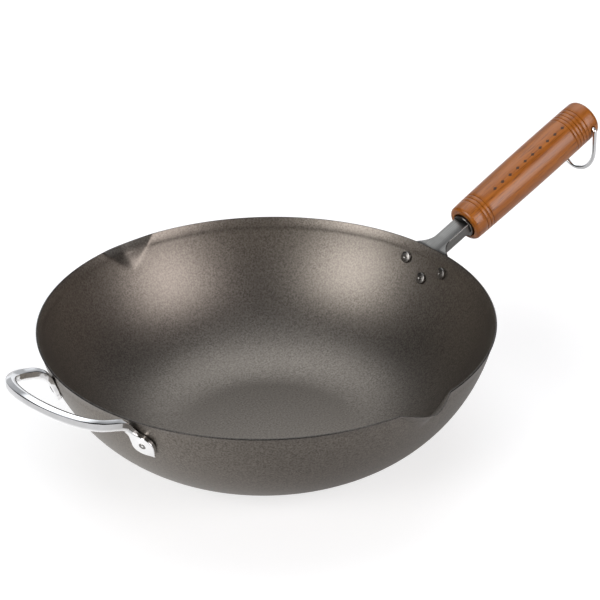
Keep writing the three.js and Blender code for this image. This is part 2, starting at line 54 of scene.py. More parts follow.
Colour = tuple[float, float, float]
Pair = tuple[float, float]
Profile = list[Pair]
Tones = tuple[tuple[float, Colour], ...]
Material = bpy.types.Material
Mesh = bmesh.types.BMesh
Socket = bpy.types.NodeSocket
SHARP_ANGLE = math.radians(32)
WELD = 1e-7
HALVINGS = 40
MIX_COLOUR_INPUTS = (0, 6, 7)
MIX_COLOUR_OUTPUT = 2


class Body(Enum):
    """Rigid bodies that pieces ride on."""

    PAN = "pan"
    RING = "ring"


class Slot(Enum):
    """Material slots of the record."""

    TITANIUM = "titanium"
    PRESSED_STEEL = "pressed_steel"
    RIVET_STEEL = "rivet_steel"
    TURNED_WOOD = "turned_wood"
    PLATED_STEEL = "plated_steel"
    CHROME = "chrome"


class Side(Enum):
    """Sides of the pan, as the sign of Y."""

    LEFT = 1
    RIGHT = -1


# Materials

class Nodes:
    """A node tree under construction, with short calls that add nodes and join sockets."""

    def __init__(self, tree: bpy.types.NodeTree) -> None:
        """Starts on a tree.

        Args:
            tree: the node tree to add to.
        """
        self.tree = tree

    def node(self, kind: str, inputs: dict[str | int, Any] | None = None, **settings: Any) -> bpy.types.Node:
        """Adds a node.

        Args:
            kind: the node's type name.
            inputs: socket names or numbers, each with a value or a socket to join it to.
            settings: attributes of the node.

        Returns:
            The new node.
        """
        node = self.tree.nodes.new(kind)
        for key, value in settings.items():
            setattr(node, key, value)
        for key, value in (inputs or {}).items():
            if isinstance(value, Socket):
                self.tree.links.new(value, node.inputs[key])
            else:
                node.inputs[key].default_value = value
        return node

    def spread(self, factor: Socket, low: float, high: float, to_low: float = 0,
               to_high: float = 1) -> Socket:
        """Maps a range of a factor to another range, clamped.

        Args:
            factor: the factor socket.
            low: start of the range.
            high: end of the range.
            to_low: value at the start.
            to_high: value at the end.

        Returns:
            The mapped socket.
        """
        inputs = {"Value": factor, "From Min": low, "From Max": high, "To Min": to_low, "To Max": to_high}
        return self.node("ShaderNodeMapRange", inputs).outputs["Result"]

    def blend(self, factor: Socket, first: Any, second: Any) -> Socket:
        """Mixes two colours.

        Args:
            factor: share of the second colour.
            first: a colour or a colour socket.
            second: a colour or a colour socket.

        Returns:
            The mixed colour socket.
        """
        mix = self.node("ShaderNodeMix", data_type="RGBA")
        for index, value in zip(MIX_COLOUR_INPUTS, (factor, first, second)):
            if isinstance(value, Socket):
                self.tree.links.new(value, mix.inputs[index])
            else:
                mix.inputs[index].default_value = (*value, 1)
        return mix.outputs[MIX_COLOUR_OUTPUT]

    def math(self, operation: str, *values: Any) -> Socket:
        """Works out a number.

        Args:
            operation: the node's operation.
            values: numbers or sockets, in the node's order.

        Returns:
            The result's socket.
        """
        return self.node("ShaderNodeMath", dict(enumerate(values)), operation=operation).outputs[0]

    def measure(self, operation: str, first: Any, second: Any) -> Socket:
        """Works out a number from two vectors.

        Args:
            operation: the node's operation.
            first: a vector or a vector socket.
            second: a vector or a vector socket.

        Returns:
            The number's socket.
        """
        node = self.node("ShaderNodeVectorMath", {0: first, 1: second}, operation=operation)
        return node.outputs["Value"]

    def ramp(self, factor: Socket, stops: Tones) -> Socket:
        """Runs through colours.

        Args:
            factor: place along the ramp, from 0 to 1.
            stops: each stop's place and colour.

        Returns:
            The colour socket.
        """
        node = self.node("ShaderNodeValToRGB", {"Fac": factor})
        elements = node.color_ramp.elements
        for index, (place, colour) in enumerate(stops):
            element = elements[index] if index < len(elements) else elements.new(place)
            element.position = place
            element.color = (*colour, 1)
        return node.outputs["Color"]


@dataclass(frozen=True)
class Grain:
    """Smooth noise over a piece.

    It has a number of cells per metre, finer layers of some strength, and a scale of its own along X.
    """

    per_metre: float
    layers: int
    strength: float
    along: float = 1.0


class Recipe(Nodes):
    """A material under construction round one Principled shader."""

    def __init__(self, name: str) -> None:
        """Starts a material.

        Args:
            name: the material's name.
        """
        self.material = bpy.data.materials.new(name)
        self.material.use_nodes = True
        super().__init__(self.material.node_tree)
        self.shader = self.tree.nodes["Principled BSDF"]

    def place(self, stretch: Sequence[float] = (1, 1, 1)) -> Socket:
        """Gives the point in the piece's own metres, stretched along its axes.

        Args:
            stretch: factors along X, Y and Z.

        Returns:
            The vector socket.
        """
        own = self.node("ShaderNodeTexCoord").outputs["Object"]
        return self.node("ShaderNodeMapping", {"Vector": own, "Scale": stretch}).outputs["Vector"]

    def grain(self, grain: Grain) -> Socket:
        """Adds smooth noise.

        Args:
            grain: the noise.

        Returns:
            The factor socket, about 0 to 1.
        """
        inputs = {"Vector": self.place((grain.along, 1, 1)), "Scale": grain.per_metre,
                  "Detail": grain.layers, "Roughness": grain.strength}
        return self.node("ShaderNodeTexNoise", inputs).outputs[0]

    def tint(self, factor: Socket, span: Pair, first: Any, second: Any, most: float = 1.0) -> Socket:
        """Lays one colour over another where a factor is high.

        Args:
            factor: the factor socket.
            span: the factor's range from none of the second colour to the most of it.
            first: a colour or a colour socket.
            second: a colour or a colour socket.
            most: the largest share of the second colour.

        Returns:
            The mixed colour socket.
        """
        return self.blend(self.spread(factor, *span, 0, most), first, second)

    def feed(self, socket: str, source: Socket) -> None:
        """Joins a socket to an input of the shader."""
        self.tree.links.new(source, self.shader.inputs[socket])

    def fix(self, **values: Any) -> None:
        """Sets inputs of the shader that are the same all over, named with _ for a space."""
        for key, value in values.items():
            self.shader.inputs[key.replace("_", " ")].default_value = value

    def bump(self, height: Socket, strength: float, distance: float,
             under: Socket | None = None) -> Socket:
        """Adds surface relief.

        Args:
            height: the height socket.
            strength: share of the relief that shows.
            distance: height of the relief in metres.
            under: normal of a coarser relief below this one.

        Returns:
            The normal socket.
        """
        inputs: dict[str | int, Any] = {"Height": height, "Strength": strength, "Distance": distance}
        if under is not None:
            inputs["Normal"] = under
        return self.node("ShaderNodeBump", inputs).outputs["Normal"]


@dataclass(frozen=True)
class BlastedTitanium:
    """Dark matt titanium with a fine blasted speckle."""

    name: str = "blasted_titanium"
    dark: Colour = (0.116, 0.103, 0.089)
    light: Colour = (0.245, 0.221, 0.194)
    roughness: Pair = (0.375, 0.475)
    speckle: Grain = Grain(820, 2, 0.6)
    speckle_span: Pair = (0.33, 0.67)
    sheen_span: Pair = (0.25, 0.75)
    mottle: Grain = Grain(60, 3, 0.5)
    mottle_span: Pair = (0.3, 0.7)
    mottle_most: float = 0.35
    relief: Pair = (0.22, 0.00015)

    def build(self) -> Material:
        """Makes the material.

        Returns:
            The material.
        """
        recipe = Recipe(self.name)
        speckle, mottle = recipe.grain(self.speckle), recipe.grain(self.mottle)
        grain = recipe.tint(speckle, self.speckle_span, self.dark, self.light)
        middle = tuple((low + high) / 2 for low, high in zip(self.dark, self.light))
        recipe.feed("Base Color", recipe.tint(mottle, self.mottle_span, grain, middle, self.mottle_most))
        recipe.feed("Roughness", recipe.spread(speckle, *self.sheen_span, *self.roughness))
        recipe.feed("Normal", recipe.bump(speckle, *self.relief))
        recipe.fix(Metallic=1.0)
        return recipe.material


@dataclass(frozen=True)
class PatchyMetal:
    """Metal whose colour and roughness follow one grain."""

    name: str
    base: Colour
    patch: Colour
    roughness: Pair
    grain: Grain
    patch_span: Pair
    sheen_span: Pair

    def build(self) -> Material:
        """Makes the material.

        Returns:
            The material.
        """
        recipe = Recipe(self.name)
        patches = recipe.grain(self.grain)
        recipe.feed("Base Color", recipe.tint(patches, self.patch_span, self.base, self.patch))
        recipe.feed("Roughness", recipe.spread(patches, *self.sheen_span, *self.roughness))
        recipe.fix(Metallic=1.0)
        return recipe.material


@dataclass(frozen=True)
class CutEdgeAndShade(PatchyMetal):
    """Dark metal on sheared edges, those of the rim and of the bracket: partly bare cut metal, partly painted
    shade for the dark line along them.
    """

    name: str = "cut_edge_and_painted_shade"
    base: Colour = (0.045, 0.041, 0.037)
    patch: Colour = (0.11, 0.102, 0.094)
    roughness: Pair = (0.30, 0.42)
    grain: Grain = Grain(900, 2, 0.6)
    patch_span: Pair = (0.3, 0.7)
    sheen_span: Pair = (0.3, 0.7)


@dataclass(frozen=True)
class PolishedChrome(PatchyMetal):
    """Mirror plating with faint smears."""

    name: str = "polished_chrome"
    base: Colour = (0.86, 0.86, 0.86)
    patch: Colour = (0.78, 0.78, 0.78)
    roughness: Pair = (0.045, 0.10)
    grain: Grain = Grain(140, 4, 0.6)
    patch_span: Pair = (0.4, 0.8)
    sheen_span: Pair = (0.35, 0.75)


@dataclass(frozen=True)
class DrawnSteel:
    """Satin steel with fine lines along X, the direction that it was drawn in."""

    name: str
    dark: Colour
    light: Colour
    roughness: Pair = (0.26, 0.40)
    lines: Grain = Grain(1500, 2, 0.6, 0.02)
    line_span: Pair = (0.25, 0.75)
    clouds: Grain = Grain(90, 3, 0.5)
    cloud_span: Pair = (0.45, 0.75)
    cloud_most: float = 0.4
    sheen_span: Pair = (0.3, 0.7)
    relief: Pair = (0.10, 0.0001)

    def build(self) -> Material:
        """Makes the material.

        Returns:
            The material.
        """
        recipe = Recipe(self.name)
        lines, clouds = recipe.grain(self.lines), recipe.grain(self.clouds)
        tone = recipe.tint(lines, self.line_span, self.dark, self.light)
        recipe.feed("Base Color", recipe.tint(clouds, self.cloud_span, tone, self.dark, self.cloud_most))
        recipe.feed("Roughness", recipe.spread(clouds, *self.sheen_span, *self.roughness))
        recipe.feed("Normal", recipe.bump(lines, *self.relief))
        recipe.fix(Metallic=1.0)
        return recipe.material


@dataclass(frozen=True)
class SatinWood:
    """Varnished orange-brown wood whose grain runs along X, with a plain row of small lozenges."""

    name: str = "satin_wood"
    pale: Colour = (0.41, 0.130, 0.012)
    deep: Colour = (0.25, 0.070, 0.005)
    dark: Colour = (0.10, 0.024, 0.002)
    roughness: Pair = (0.27, 0.35)
    figure: Grain = Grain(170, 4, 0.6, 0.07)
    figure_span: Pair = (0.32, 0.68)
    sheen_span: Pair = (0.3, 0.7)
    fibres: Grain = Grain(1500, 3, 0.6, 0.02)
    fibre_span: Pair = (0.35, 0.70)
    fibre_most: float = 0.65
    fibre_relief: Pair = (0.10, 0.0002)
    pores: Grain = Grain(2100, 1, 0.4, 0.035)
    pore_span: Pair = (0.58, 0.70)
    pore_most: float = 0.75
    pore_relief: Pair = (0.08, 0.0002)
    mark: Colour = (0.022, 0.012, 0.008)
    mark_row: Pair = (0.030, 0.102)
    mark_pitch: float = 0.008
    mark_across: float = -0.0062
    mark_half: Pair = (0.0019, 0.0012)
    mark_edge: Pair = (0.8, 1.1)
    mark_most: float = 0.9

    def lozenges(self, recipe: Recipe) -> Socket:
        """Gives a plain row of small lozenges along the top of the grip.

        Args:
            recipe: the wood's material.

        Returns:
            The share of the lozenges' colour, 0 outside them.
        """
        place = recipe.node("ShaderNodeSeparateXYZ", {0: recipe.place()}).outputs
        (start, end), (half_length, half_width) = self.mark_row, self.mark_half
        wrapped = recipe.math("PINGPONG", recipe.math("SUBTRACT", place["X"], start), self.mark_pitch / 2)
        along = recipe.math("DIVIDE", wrapped, half_length)
        aside = recipe.math("ABSOLUTE", recipe.math("SUBTRACT", place["Y"], self.mark_across))
        reach = recipe.math("ADD", along, recipe.math("DIVIDE", aside, half_width))
        share = recipe.spread(reach, *self.mark_edge, self.mark_most, 0)
        limits = (("GREATER_THAN", "X", start - half_length), ("LESS_THAN", "X", end + half_length),
                  ("GREATER_THAN", "Z", 0.0))
        for operation, axis, limit in limits:
            share = recipe.math("MULTIPLY", share, recipe.math(operation, place[axis], limit))
        return share

    def build(self) -> Material:
        """Makes the material.

        Returns:
            The material.
        """
        recipe = Recipe(self.name)
        figure, fibres, pores = (recipe.grain(grain) for grain in (self.figure, self.fibres, self.pores))
        tone = recipe.tint(figure, self.figure_span, self.deep, self.pale)
        tone = recipe.tint(fibres, self.fibre_span, tone, self.deep, self.fibre_most)
        tone = recipe.tint(pores, self.pore_span, tone, self.dark, self.pore_most)
        recipe.feed("Base Color", recipe.blend(self.lozenges(recipe), tone, self.mark))
        recipe.feed("Roughness", recipe.spread(figure, *self.sheen_span, *self.roughness))
        coarse = recipe.bump(fibres, *self.fibre_relief)
        recipe.feed("Normal", recipe.bump(pores, *self.pore_relief, coarse))
        recipe.fix(Coat_Weight=0.12, Coat_Roughness=0.25, Specular_IOR_Level=0.4)
        return recipe.material


@dataclass(frozen=True)
class PaleFloor:
    """White floor that keeps the pan's shadow.

    It shows the background to the camera, and to shiny pieces a painted pool of light, brightest by the
    helper handle.
    """

    name: str = "pale_floor"
    colour: Colour = (0.50, 0.50, 0.50)
    camera_glow: float = 0.65
    mirror_glow: Pair = (0.72, 0.21)
    pool_centre: tuple[float, float, float] = (-0.17, 0.05, 0.0)
    pool_radius: Pair = (0.06, 0.20)

    def build(self) -> Material:
        """Makes the material.

        Returns:
            The material.
        """
        recipe = Recipe(self.name)
        rays = recipe.node("ShaderNodeLightPath").outputs
        mirrored = recipe.math("MAXIMUM", rays["Is Glossy Ray"], rays["Is Transmission Ray"])
        seen = recipe.math("MULTIPLY", rays["Is Camera Ray"], self.camera_glow)
        # Painted pool of light: the glow seen in reflections fades with distance from the helper handle.
        distance = recipe.measure("DISTANCE", recipe.place(), self.pool_centre)
        glow = recipe.spread(distance, *self.pool_radius, *self.mirror_glow)
        recipe.feed("Emission Strength", recipe.math("MULTIPLY_ADD", mirrored, glow, seen))
        recipe.fix(Base_Color=(*self.colour, 1), Roughness=0.9, Specular_IOR_Level=0.0)
        recipe.fix(Emission_Color=(1, 1, 1, 1))
        return recipe.material


# Meshes

def loft(rings: Sequence[Sequence[Vector]], capped: bool = True) -> Mesh:
    """Skins rings of equal count, one after another.

    Args:
        rings: closed rings of points; a ring of one point is a tip.
        capped: close the first and last ring with a face.

    Returns:
        The mesh, with its faces pointing out.
    """
    mesh = bmesh.new()
    rows = [[mesh.verts.new(point) for point in ring] for ring in rings]
    for near, far in zip(rows, rows[1:]):
        count = max(len(near), len(far))
        for index in range(count):
            following = (index + 1) % count
            corners = [near[index % len(near)], near[following % len(near)],
                       far[following % len(far)], far[index % len(far)]]
            mesh.faces.new(list(dict.fromkeys(corners)))
    if capped:
        for row in (rows[0], rows[-1]):
            if len(row) > 1:
                mesh.faces.new(row)
    bmesh.ops.recalc_face_normals(mesh, faces=mesh.faces)
    return mesh


def closed_loft(rings: Sequence[Sequence[Vector]]) -> Mesh:
    """Skins rings of which the last lies on the first, and welds those two.

    Args:
        rings: closed rings of points.

    Returns:
        The mesh, with its faces pointing out.
    """
    mesh = loft(rings, capped=False)
    bmesh.ops.remove_doubles(mesh, verts=mesh.verts, dist=WELD)
    bmesh.ops.recalc_face_normals(mesh, faces=mesh.faces)
    return mesh


def skin(mesh: Mesh, near: Sequence[Any], far: Sequence[Any]) -> None:
    """Adds a strip of faces between two rows of a mesh's corners."""
    for corners in zip(near, near[1:], far[1:], far):
        mesh.faces.new(corners)


def circle(station: float, radii: Sequence[float]) -> list[Vector]:
    """Gives points spread evenly round the X axis.

    Args:
        station: place along the axis.
        radii: each point's distance from the axis.

    Returns:
        The points.
    """
    points = []
    for side, radius in enumerate(radii):
        angle = math.tau * side / len(radii)
        points.append(Vector((station, radius * math.cos(angle), radius * math.sin(angle))))
    return points


def turned(profile: Profile, sides: int) -> Mesh:
    """Turns a profile about the X axis.

    Args:
        profile: (radius, station) points; a radius of 0 is on the axis.
        sides: facets round the axis.

    Returns:
        The closed mesh.
    """
    rings = [circle(station, [radius] * (sides if radius > 0 else 1)) for radius, station in profile]
    if profile[0] == profile[-1]:
        return closed_loft(rings)
    return loft(rings, capped=False)


def mesh_data(name: str, mesh: Mesh) -> bpy.types.Mesh:
    """Turns a mesh under construction into mesh data.

    Args:
        name: the data's name.
        mesh: the mesh, which is used up.

    Returns:
        The data.
    """
    data = bpy.data.meshes.new(name)
    mesh.to_mesh(data)
    mesh.free()
    return data


def added(name: str, data: bpy.types.ID) -> bpy.types.Object:
    """Adds an object to the scene.

    Args:
        name: the object's name.
        data: its mesh data or camera data.

    Returns:
        The object.
    """
    thing = bpy.data.objects.new(name, data)
    bpy.context.scene.collection.objects.link(thing)
    return thing


def apply_modifiers(piece: bpy.types.Object) -> None:
    """Replaces an object's mesh by the one that its modifiers give.

    Args:
        piece: the object.
    """
    bpy.context.view_layer.update()
    evaluated = piece.evaluated_get(bpy.context.evaluated_depsgraph_get())
    mesh = bpy.data.meshes.new_from_object(evaluated)
    old = piece.data
    piece.modifiers.clear()
    piece.data = mesh
    bpy.data.meshes.remove(old)
    mesh.name = piece.name


def joined(parts: Sequence[Mesh]) -> Mesh:
    """Puts meshes together as shells of one mesh.

    Args:
        parts: the meshes, which are used up.

    Returns:
        The mesh that holds them all.
    """
    whole = bmesh.new()
    for part in parts:
        scratch = mesh_data("part", part)
        whole.from_mesh(scratch)
        bpy.data.meshes.remove(scratch)
    return whole


def last_true(test: Callable[[float], bool], low: float, high: float) -> float:
    """Finds where a test stops holding.

    Args:
        test: the test, which holds at low and fails at high.
        low: start of the search.
        high: end of the search.

    Returns:
        The last value at which the test holds.
    """
    for _ in range(HALVINGS):
        middle = (low + high) / 2
        if test(middle):
            low = middle
        else:
            high = middle
    return low


def bent(start: Vector, corner: Vector, end: Vector, steps: int) -> list[Vector]:
    """Draws a bend.

    Args:
        start: the bend's first point.
        corner: where the straight lines before and after the bend would meet.
        end: the bend's last point.
        steps: number of stretches.

    Returns:
        The bend's points.
    """
    shares = (step / steps for step in range(steps + 1))
    return [start * (1 - t)**2 + corner * (2 * t * (1 - t)) + end * t**2 for t in shares]


def rounded(centre: Pair, radius: float, start: float, end: float, steps: int) -> Profile:
    """Gives points of an arc.

    Args:
        centre: the arc's centre as (radius, station).
        radius: the arc's radius.
        start: first angle in degrees, from the radius direction towards the station direction.
        end: last angle in degrees.
        steps: number of stretches.

    Returns:
        The arc's (radius, station) points.
    """
    points = []
    for step in range(steps + 1):
        angle = math.radians(start + (end - start) * step / steps)
        points.append((centre[0] + radius * math.cos(angle), centre[1] + radius * math.sin(angle)))
    return points


def cubic(points: Sequence[Pair], share: float) -> tuple[Vector, Vector]:
    """Finds a place on a cubic curve.

    Args:
        points: the curve's four control points.
        share: from 0 at its start to 1 at its end.

    Returns:
        The place and the direction of travel.
    """
    a, b, c, d = (Vector(point) for point in points)
    rest = 1 - share
    place = a * rest**3 + b * (3 * rest**2 * share) + c * (3 * rest * share**2) + d * share**3
    along = (b - a) * rest**2 + (c - b) * (2 * rest * share) + (d - c) * share**2
    return place, along.normalized()


def smooth_step(low: float, high: float, value: float) -> float:
    """Eases from 0 at low to 1 at high."""
    share = min(max((value - low) / (high - low), 0.0), 1.0)
    return share * share * (3 - 2 * share)


def through(points: Sequence[Vector], steps: int) -> list[Vector]:
    """Draws a smooth path through points.

    Args:
        points: the points, in order.
        steps: stretches between two points.

    Returns:
        Points along the path, from the first point to the last.
    """
    path = [points[0].copy()]
    for index in range(len(points) - 1):
        before = points[max(index - 1, 0)]
        start, end = points[index], points[index + 1]
        after = points[min(index + 2, len(points) - 1)]
        for step in range(1, steps + 1):
            t = step / steps
            place = 2 * start + (end - before) * t + (2 * before - 5 * start + 4 * end - after) * t**2
            path.append((place + (3 * start - before - 3 * end + after) * t**3) / 2)
    return path


def directions(path: Sequence[Vector]) -> list[Vector]:
    """Gives the direction of travel at each point of a path."""
    last = len(path) - 1
    return [(path[min(i + 1, last)] - path[max(i - 1, 0)]).normalized() for i in range(last + 1)]


@dataclass
class Piece:
    """A finished mesh and what it needs to take its place in the pan."""

    name: str
    mesh: Mesh
    finishes: list[Material]
    slot: Slot
    nodes: Sequence[str]
    body: Body = Body.PAN
    place: Matrix = field(default_factory=lambda: Matrix.Identity(4))
    flat_facets: bool = False

    def install(self) -> bpy.types.Object:
        """Makes the object, sets it on its body and hides the nodes that it stands for.

        Returns:
            The new object.
        """
        for edge in self.mesh.edges:
            edge.smooth = len(edge.link_faces) == 2 and edge.calc_face_angle(0) < SHARP_ANGLE
        for face in self.mesh.faces:
            face.smooth = True
        data = mesh_data(self.name, self.mesh)
        for finish in self.finishes:
            data.materials.append(finish)
        piece = added(self.name, data)
        piece.matrix_world = self.place
        if self.flat_facets:
            piece.modifiers.new("even_facets", "WEIGHTED_NORMAL").keep_sharp = True
        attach(piece, self.body.value)
        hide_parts(*self.nodes)
        log.info("%s: %d faces on %s", self.name, len(data.polygons), self.body.value)
        return piece


# Sub-assemblies

@dataclass
class Bowl:
    """Thin spun bowl with a flat base, a necked and flared lip, and a pressed spout on each side."""

    rim_radius: float = 0.150
    height: float = 0.0845
    base_radius: float = 0.055
    base_bend: float = 0.046
    wall_bend: float = 0.0434
    wall_slope: float = 74.4
    lip_height: float = 0.0075
    lip_flare: float = 0.0025
    neck_slope: float = 82.0
    neck_bend: float = 0.0022
    flare_slope: float = 62.0
    flare_bend: float = 0.0024
    sheet: float = 0.0012
    edge_round: float = 0.0004
    edge_turn: Pair = (0.1, 0.4)
    spout_width: float = 0.0424
    spout_reach: float = 0.0185
    spout_out: float = 0.0066
    spout_dip: float = 0.0043
    spout_round: float = 0.4
    spout_fold: float = 0.05
    spout_blunt: float = 0.5
    spout_taper: float = 0.72
    spout_onset: float = 1.45
    base_rings: int = 3
    low_steps: int = 22
    high_steps: int = 16
    high_start: float = 0.82
    lip_steps: int = 9
    side_step: float = 1.5
    spout_side_step: float = 0.375
    spout_side_span: float = 9.75

    def wall_points(self) -> list[Pair]:
        """Draws the outer wall.

        Returns:
            The four control points of its curve, as (radius, height).
        """
        foot = (self.rim_radius - self.lip_flare, self.height - self.lip_height)
        slope = math.radians(self.wall_slope)
        pull = (foot[0] - self.wall_bend * math.cos(slope), foot[1] - self.wall_bend * math.sin(slope))
        return [(self.base_radius, 0), (self.base_radius + self.base_bend, 0), pull, foot]

    def lip_points(self) -> list[Pair]:
        """Draws the outer lip.

        Returns:
            The four control points of its curve, as (radius, height).
        """
        foot = self.wall_points()[3]
        neck, flare = math.radians(self.neck_slope), math.radians(self.flare_slope)
        rise = (foot[0] + self.neck_bend * math.cos(neck), foot[1] + self.neck_bend * math.sin(neck))
        fall = (self.rim_radius - self.flare_bend * math.cos(flare),
                self.height - self.flare_bend * math.sin(flare))
        return [foot, rise, fall, (self.rim_radius, self.height)]

    def outline(self, inset: float) -> Profile:
        """Gives the bowl's profile moved into the bowl.

        Args:
            inset: distance from the outer surface.

        Returns:
            (radius, height) points from the edge of the base to the rim.
        """
        shares = [self.high_start * step / self.low_steps for step in range(self.low_steps)]
        spread = 1 - self.high_start
        shares += [self.high_start + spread * step / self.high_steps for step in range(self.high_steps)]
        places = [cubic(self.wall_points(), share) for share in shares]
        places += [cubic(self.lip_points(), step / self.lip_steps) for step in range(self.lip_steps + 1)]
        return [(place.x - inset * along.y, place.y + inset * along.x) for place, along in places]

    def profile(self) -> tuple[Profile, range]:
        """Gives the closed profile from the base's centre outside to the floor's centre inside.

        Returns:
            The (radius, height) points, and which of its stretches are the rim's cut edge.
        """
        base = [(self.base_radius * ring / self.base_rings, 0) for ring in range(self.base_rings)]
        outer, inner = self.outline(0), self.outline(self.sheet)
        (out_r, out_z), (in_r, in_z) = outer[-1], inner[-1]
        across = Vector((in_r - out_r, in_z - out_z))
        soft = self.edge_round / across.length
        along = Vector((across.y, -across.x)).normalized() * self.edge_round
        turn_share, turn_drop = self.edge_turn
        near = [(0.0, 1.0), (turn_share * soft, turn_drop), (soft, 0.0)]
        far = [(1 - share, drop) for share, drop in reversed(near)]
        edge = []
        for share, drop in near + far:
            place = Vector((out_r, out_z)) + across * share - along * drop
            edge.append((place.x, place.y))
        points = base + outer[:-1] + edge + inner[-2::-1]
        first = len(base) + len(outer) - 1
        floor = [(radius, self.sheet) for radius, _ in reversed(base)]
        return points + floor, range(first, first + len(edge) - 1)

    def side_angles(self) -> list[float]:
        """Spreads the bowl's sides round it, close together at the spouts.

        Returns:
            The angles of the sides in radians.
        """
        angles = [self.side_step * step for step in range(round(360 / self.side_step))]
        for side in Side:
            spout = 180 - 90 * side.value
            angles = [a for a in angles if abs(a - spout) > self.spout_side_span]
            steps = round(self.spout_side_span / self.spout_side_step)
            angles += [spout + self.spout_side_step * step for step in range(-steps, steps + 1)]
        return [math.radians(angle) for angle in sorted(angles)]

    def spouted(self, point: Vector) -> Vector:
        """Presses the spouts into a point of the plain bowl.

        Args:
            point: a point of the bowl without spouts.

        Returns:
            The point's place in the finished bowl.
        """
        climb = (point.z - self.height + self.spout_reach) / self.spout_reach
        if climb <= 0:
            return point
        radius = math.hypot(point.x, point.y)
        arc = abs(math.atan2(point.x, abs(point.y))) * self.rim_radius
        spread = climb ** self.spout_taper
        across = arc / (spread * self.spout_width / 2)
        fold = min(self.spout_fold / (spread * spread), self.spout_blunt)
        valley = math.hypot(across, self.spout_round) - self.spout_round
        depth = 1 - valley / (math.hypot(1, self.spout_round) - self.spout_round)
        trough = (depth + math.hypot(depth, fold)) / 2
        deep = climb ** self.spout_onset
        moved = radius + deep * self.spout_out * trough
        outward = Vector((point.x / radius, point.y / radius, 0)) * moved
        return outward + Vector((0, 0, point.z - deep * self.spout_dip * trough))

    def wall_at(self, height: float) -> Pair:
        """Finds the outer wall at a height below the lip.

        Args:
            height: height above the base.

        Returns:
            The wall's radius there and its slope in radians.
        """
        curve = self.wall_points()
        share = last_true(lambda tried: cubic(curve, tried)[0].y < height, 0.0, 1.0)
        place, along = cubic(curve, share)
        return place.x, math.atan2(along.y, along.x)

    def wall_frame(self, angle: float, height: float) -> Matrix:
        """Gives a frame on the outer wall: X points out of the bowl, Y round it and Z up the wall.

        Args:
            angle: angle round the bowl in radians.
            height: height above the base.

        Returns:
            The frame.
        """
        radius, slope = self.wall_at(height)
        lean = Matrix.Rotation(math.pi / 2 - slope, 4, "Y")
        return Matrix.Rotation(angle, 4, "Z") @ Matrix.Translation((radius, 0, height)) @ lean

    def build(self, titanium: Material, cut_edge_and_shade: Material) -> None:
        """Builds and dresses the bowl.

        Args:
            titanium: finish of the bowl.
            cut_edge_and_shade: finish of the rim's trimmed edge, dark partly with painted shade.
        """
        profile, edge = self.profile()
        angles = self.side_angles()
        rings = []
        for radius, height in profile:
            if radius <= 0:
                rings.append([Vector((0, 0, height))])
                continue
            plain = [Vector((radius * math.cos(a), radius * math.sin(a), height)) for a in angles]
            rings.append([self.spouted(point) for point in plain])
        mesh = loft(rings, capped=False)
        mesh.verts.ensure_lookup_table()
        first = sum(len(ring) for ring in rings[:edge.start])
        edge_vertices = set(mesh.verts[first:first + (len(edge) + 1) * len(angles)])
        # The rim's cut edge takes the second finish, whose darkness is partly painted shade.
        for face in mesh.faces:
            face.material_index = int(all(vertex in edge_vertices for vertex in face.verts))
        Piece("bowl", mesh, [titanium, cut_edge_and_shade], Slot.TITANIUM, ["pan_body"]).install()


@dataclass
class Rivet:
    """Rivet along X: a button head with a centre dimple inside the bowl, and a tail outside."""

    shank_radius: float = 0.0025
    head_radius: float = 0.0041
    head_height: float = 0.0022
    head_round: float = 0.0009
    undercut: float = 0.0005
    crown: float = 0.00035
    crown_middle: Pair = (0.00224, 0.00021)
    dimple: tuple[Pair, ...] = ((0.0, 0.0004), (0.00045, 0.00034), (0.00085, 0.00006), (0.00115, 0.0))
    tail_radius: float = 0.0040
    tail_height: float = 0.0014
    flush_radius: float = 0.0024
    flush_height: float = 0.0002
    flush_face: float = 0.00216
    punch_mark: tuple[Pair, ...] = ((0.001, 0.0), (0.0008, 0.00012), (0.0004, 0.00064), (0.0, 0.00072))
    sides: int = 40
    corner_steps: int = 5
    dome_steps: int = 8

    def head(self, seat: float) -> Profile:
        """Gives the head's profile from its dimple to its underside.

        Args:
            seat: station of the inner wall that the head rests on.

        Returns:
            (radius, station) points.
        """
        top = seat - self.head_height
        shoulder = self.head_radius - self.head_round
        middle_radius, middle_height = self.crown_middle
        points = [(radius, top - self.crown + depth) for radius, depth in self.dimple]
        points.append((middle_radius, top - middle_height))
        points += rounded((shoulder, top + self.head_round), self.head_round, -90, 0, self.corner_steps)
        points += [(self.head_radius, seat - 2 * self.undercut), (self.head_radius - self.undercut, seat)]
        points.append((self.shank_radius, seat))
        return points

    def domed_tail(self, seat: float) -> Profile:
        """Gives a domed tail that rests on a plate.

        Args:
            seat: station of the plate's outer face.

        Returns:
            (radius, station) points.
        """
        points = [(self.shank_radius, seat), (self.tail_radius, seat)]
        for step in range(1, self.dome_steps):
            angle = math.radians(90 * step / self.dome_steps)
            points.append((self.tail_radius * math.cos(angle), seat + self.tail_height * math.sin(angle)))
        return points + [(0, seat + self.tail_height)]

    def flush_tail(self, seat: float) -> Profile:
        """Gives a flush end with a punch mark.

        Args:
            seat: station of the outer face of the plate round it.

        Returns:
            (radius, station) points.
        """
        top = seat + self.flush_height
        points = [(self.shank_radius, seat - self.flush_height), (self.flush_radius, seat),
                  (self.flush_face, top)]
        return points + [(radius, top - depth) for radius, depth in self.punch_mark]

    def build(self, name: str, place: Matrix, head_seat: float, tail: Profile,
              finish: Material) -> None:
        """Builds and dresses one rivet.

        Args:
            name: the CAD node that it stands for.
            place: frame on the outer wall, with X out of the bowl.
            head_seat: station of the inner wall.
            tail: profile of the end outside.
            finish: the rivet's material.
        """
        mesh = turned(self.head(head_seat) + tail, self.sides)
        stud = name.replace("_rivet", "_stud")
        Piece(stud, mesh, [finish], Slot.RIVET_STEEL, [name], place=place).install()


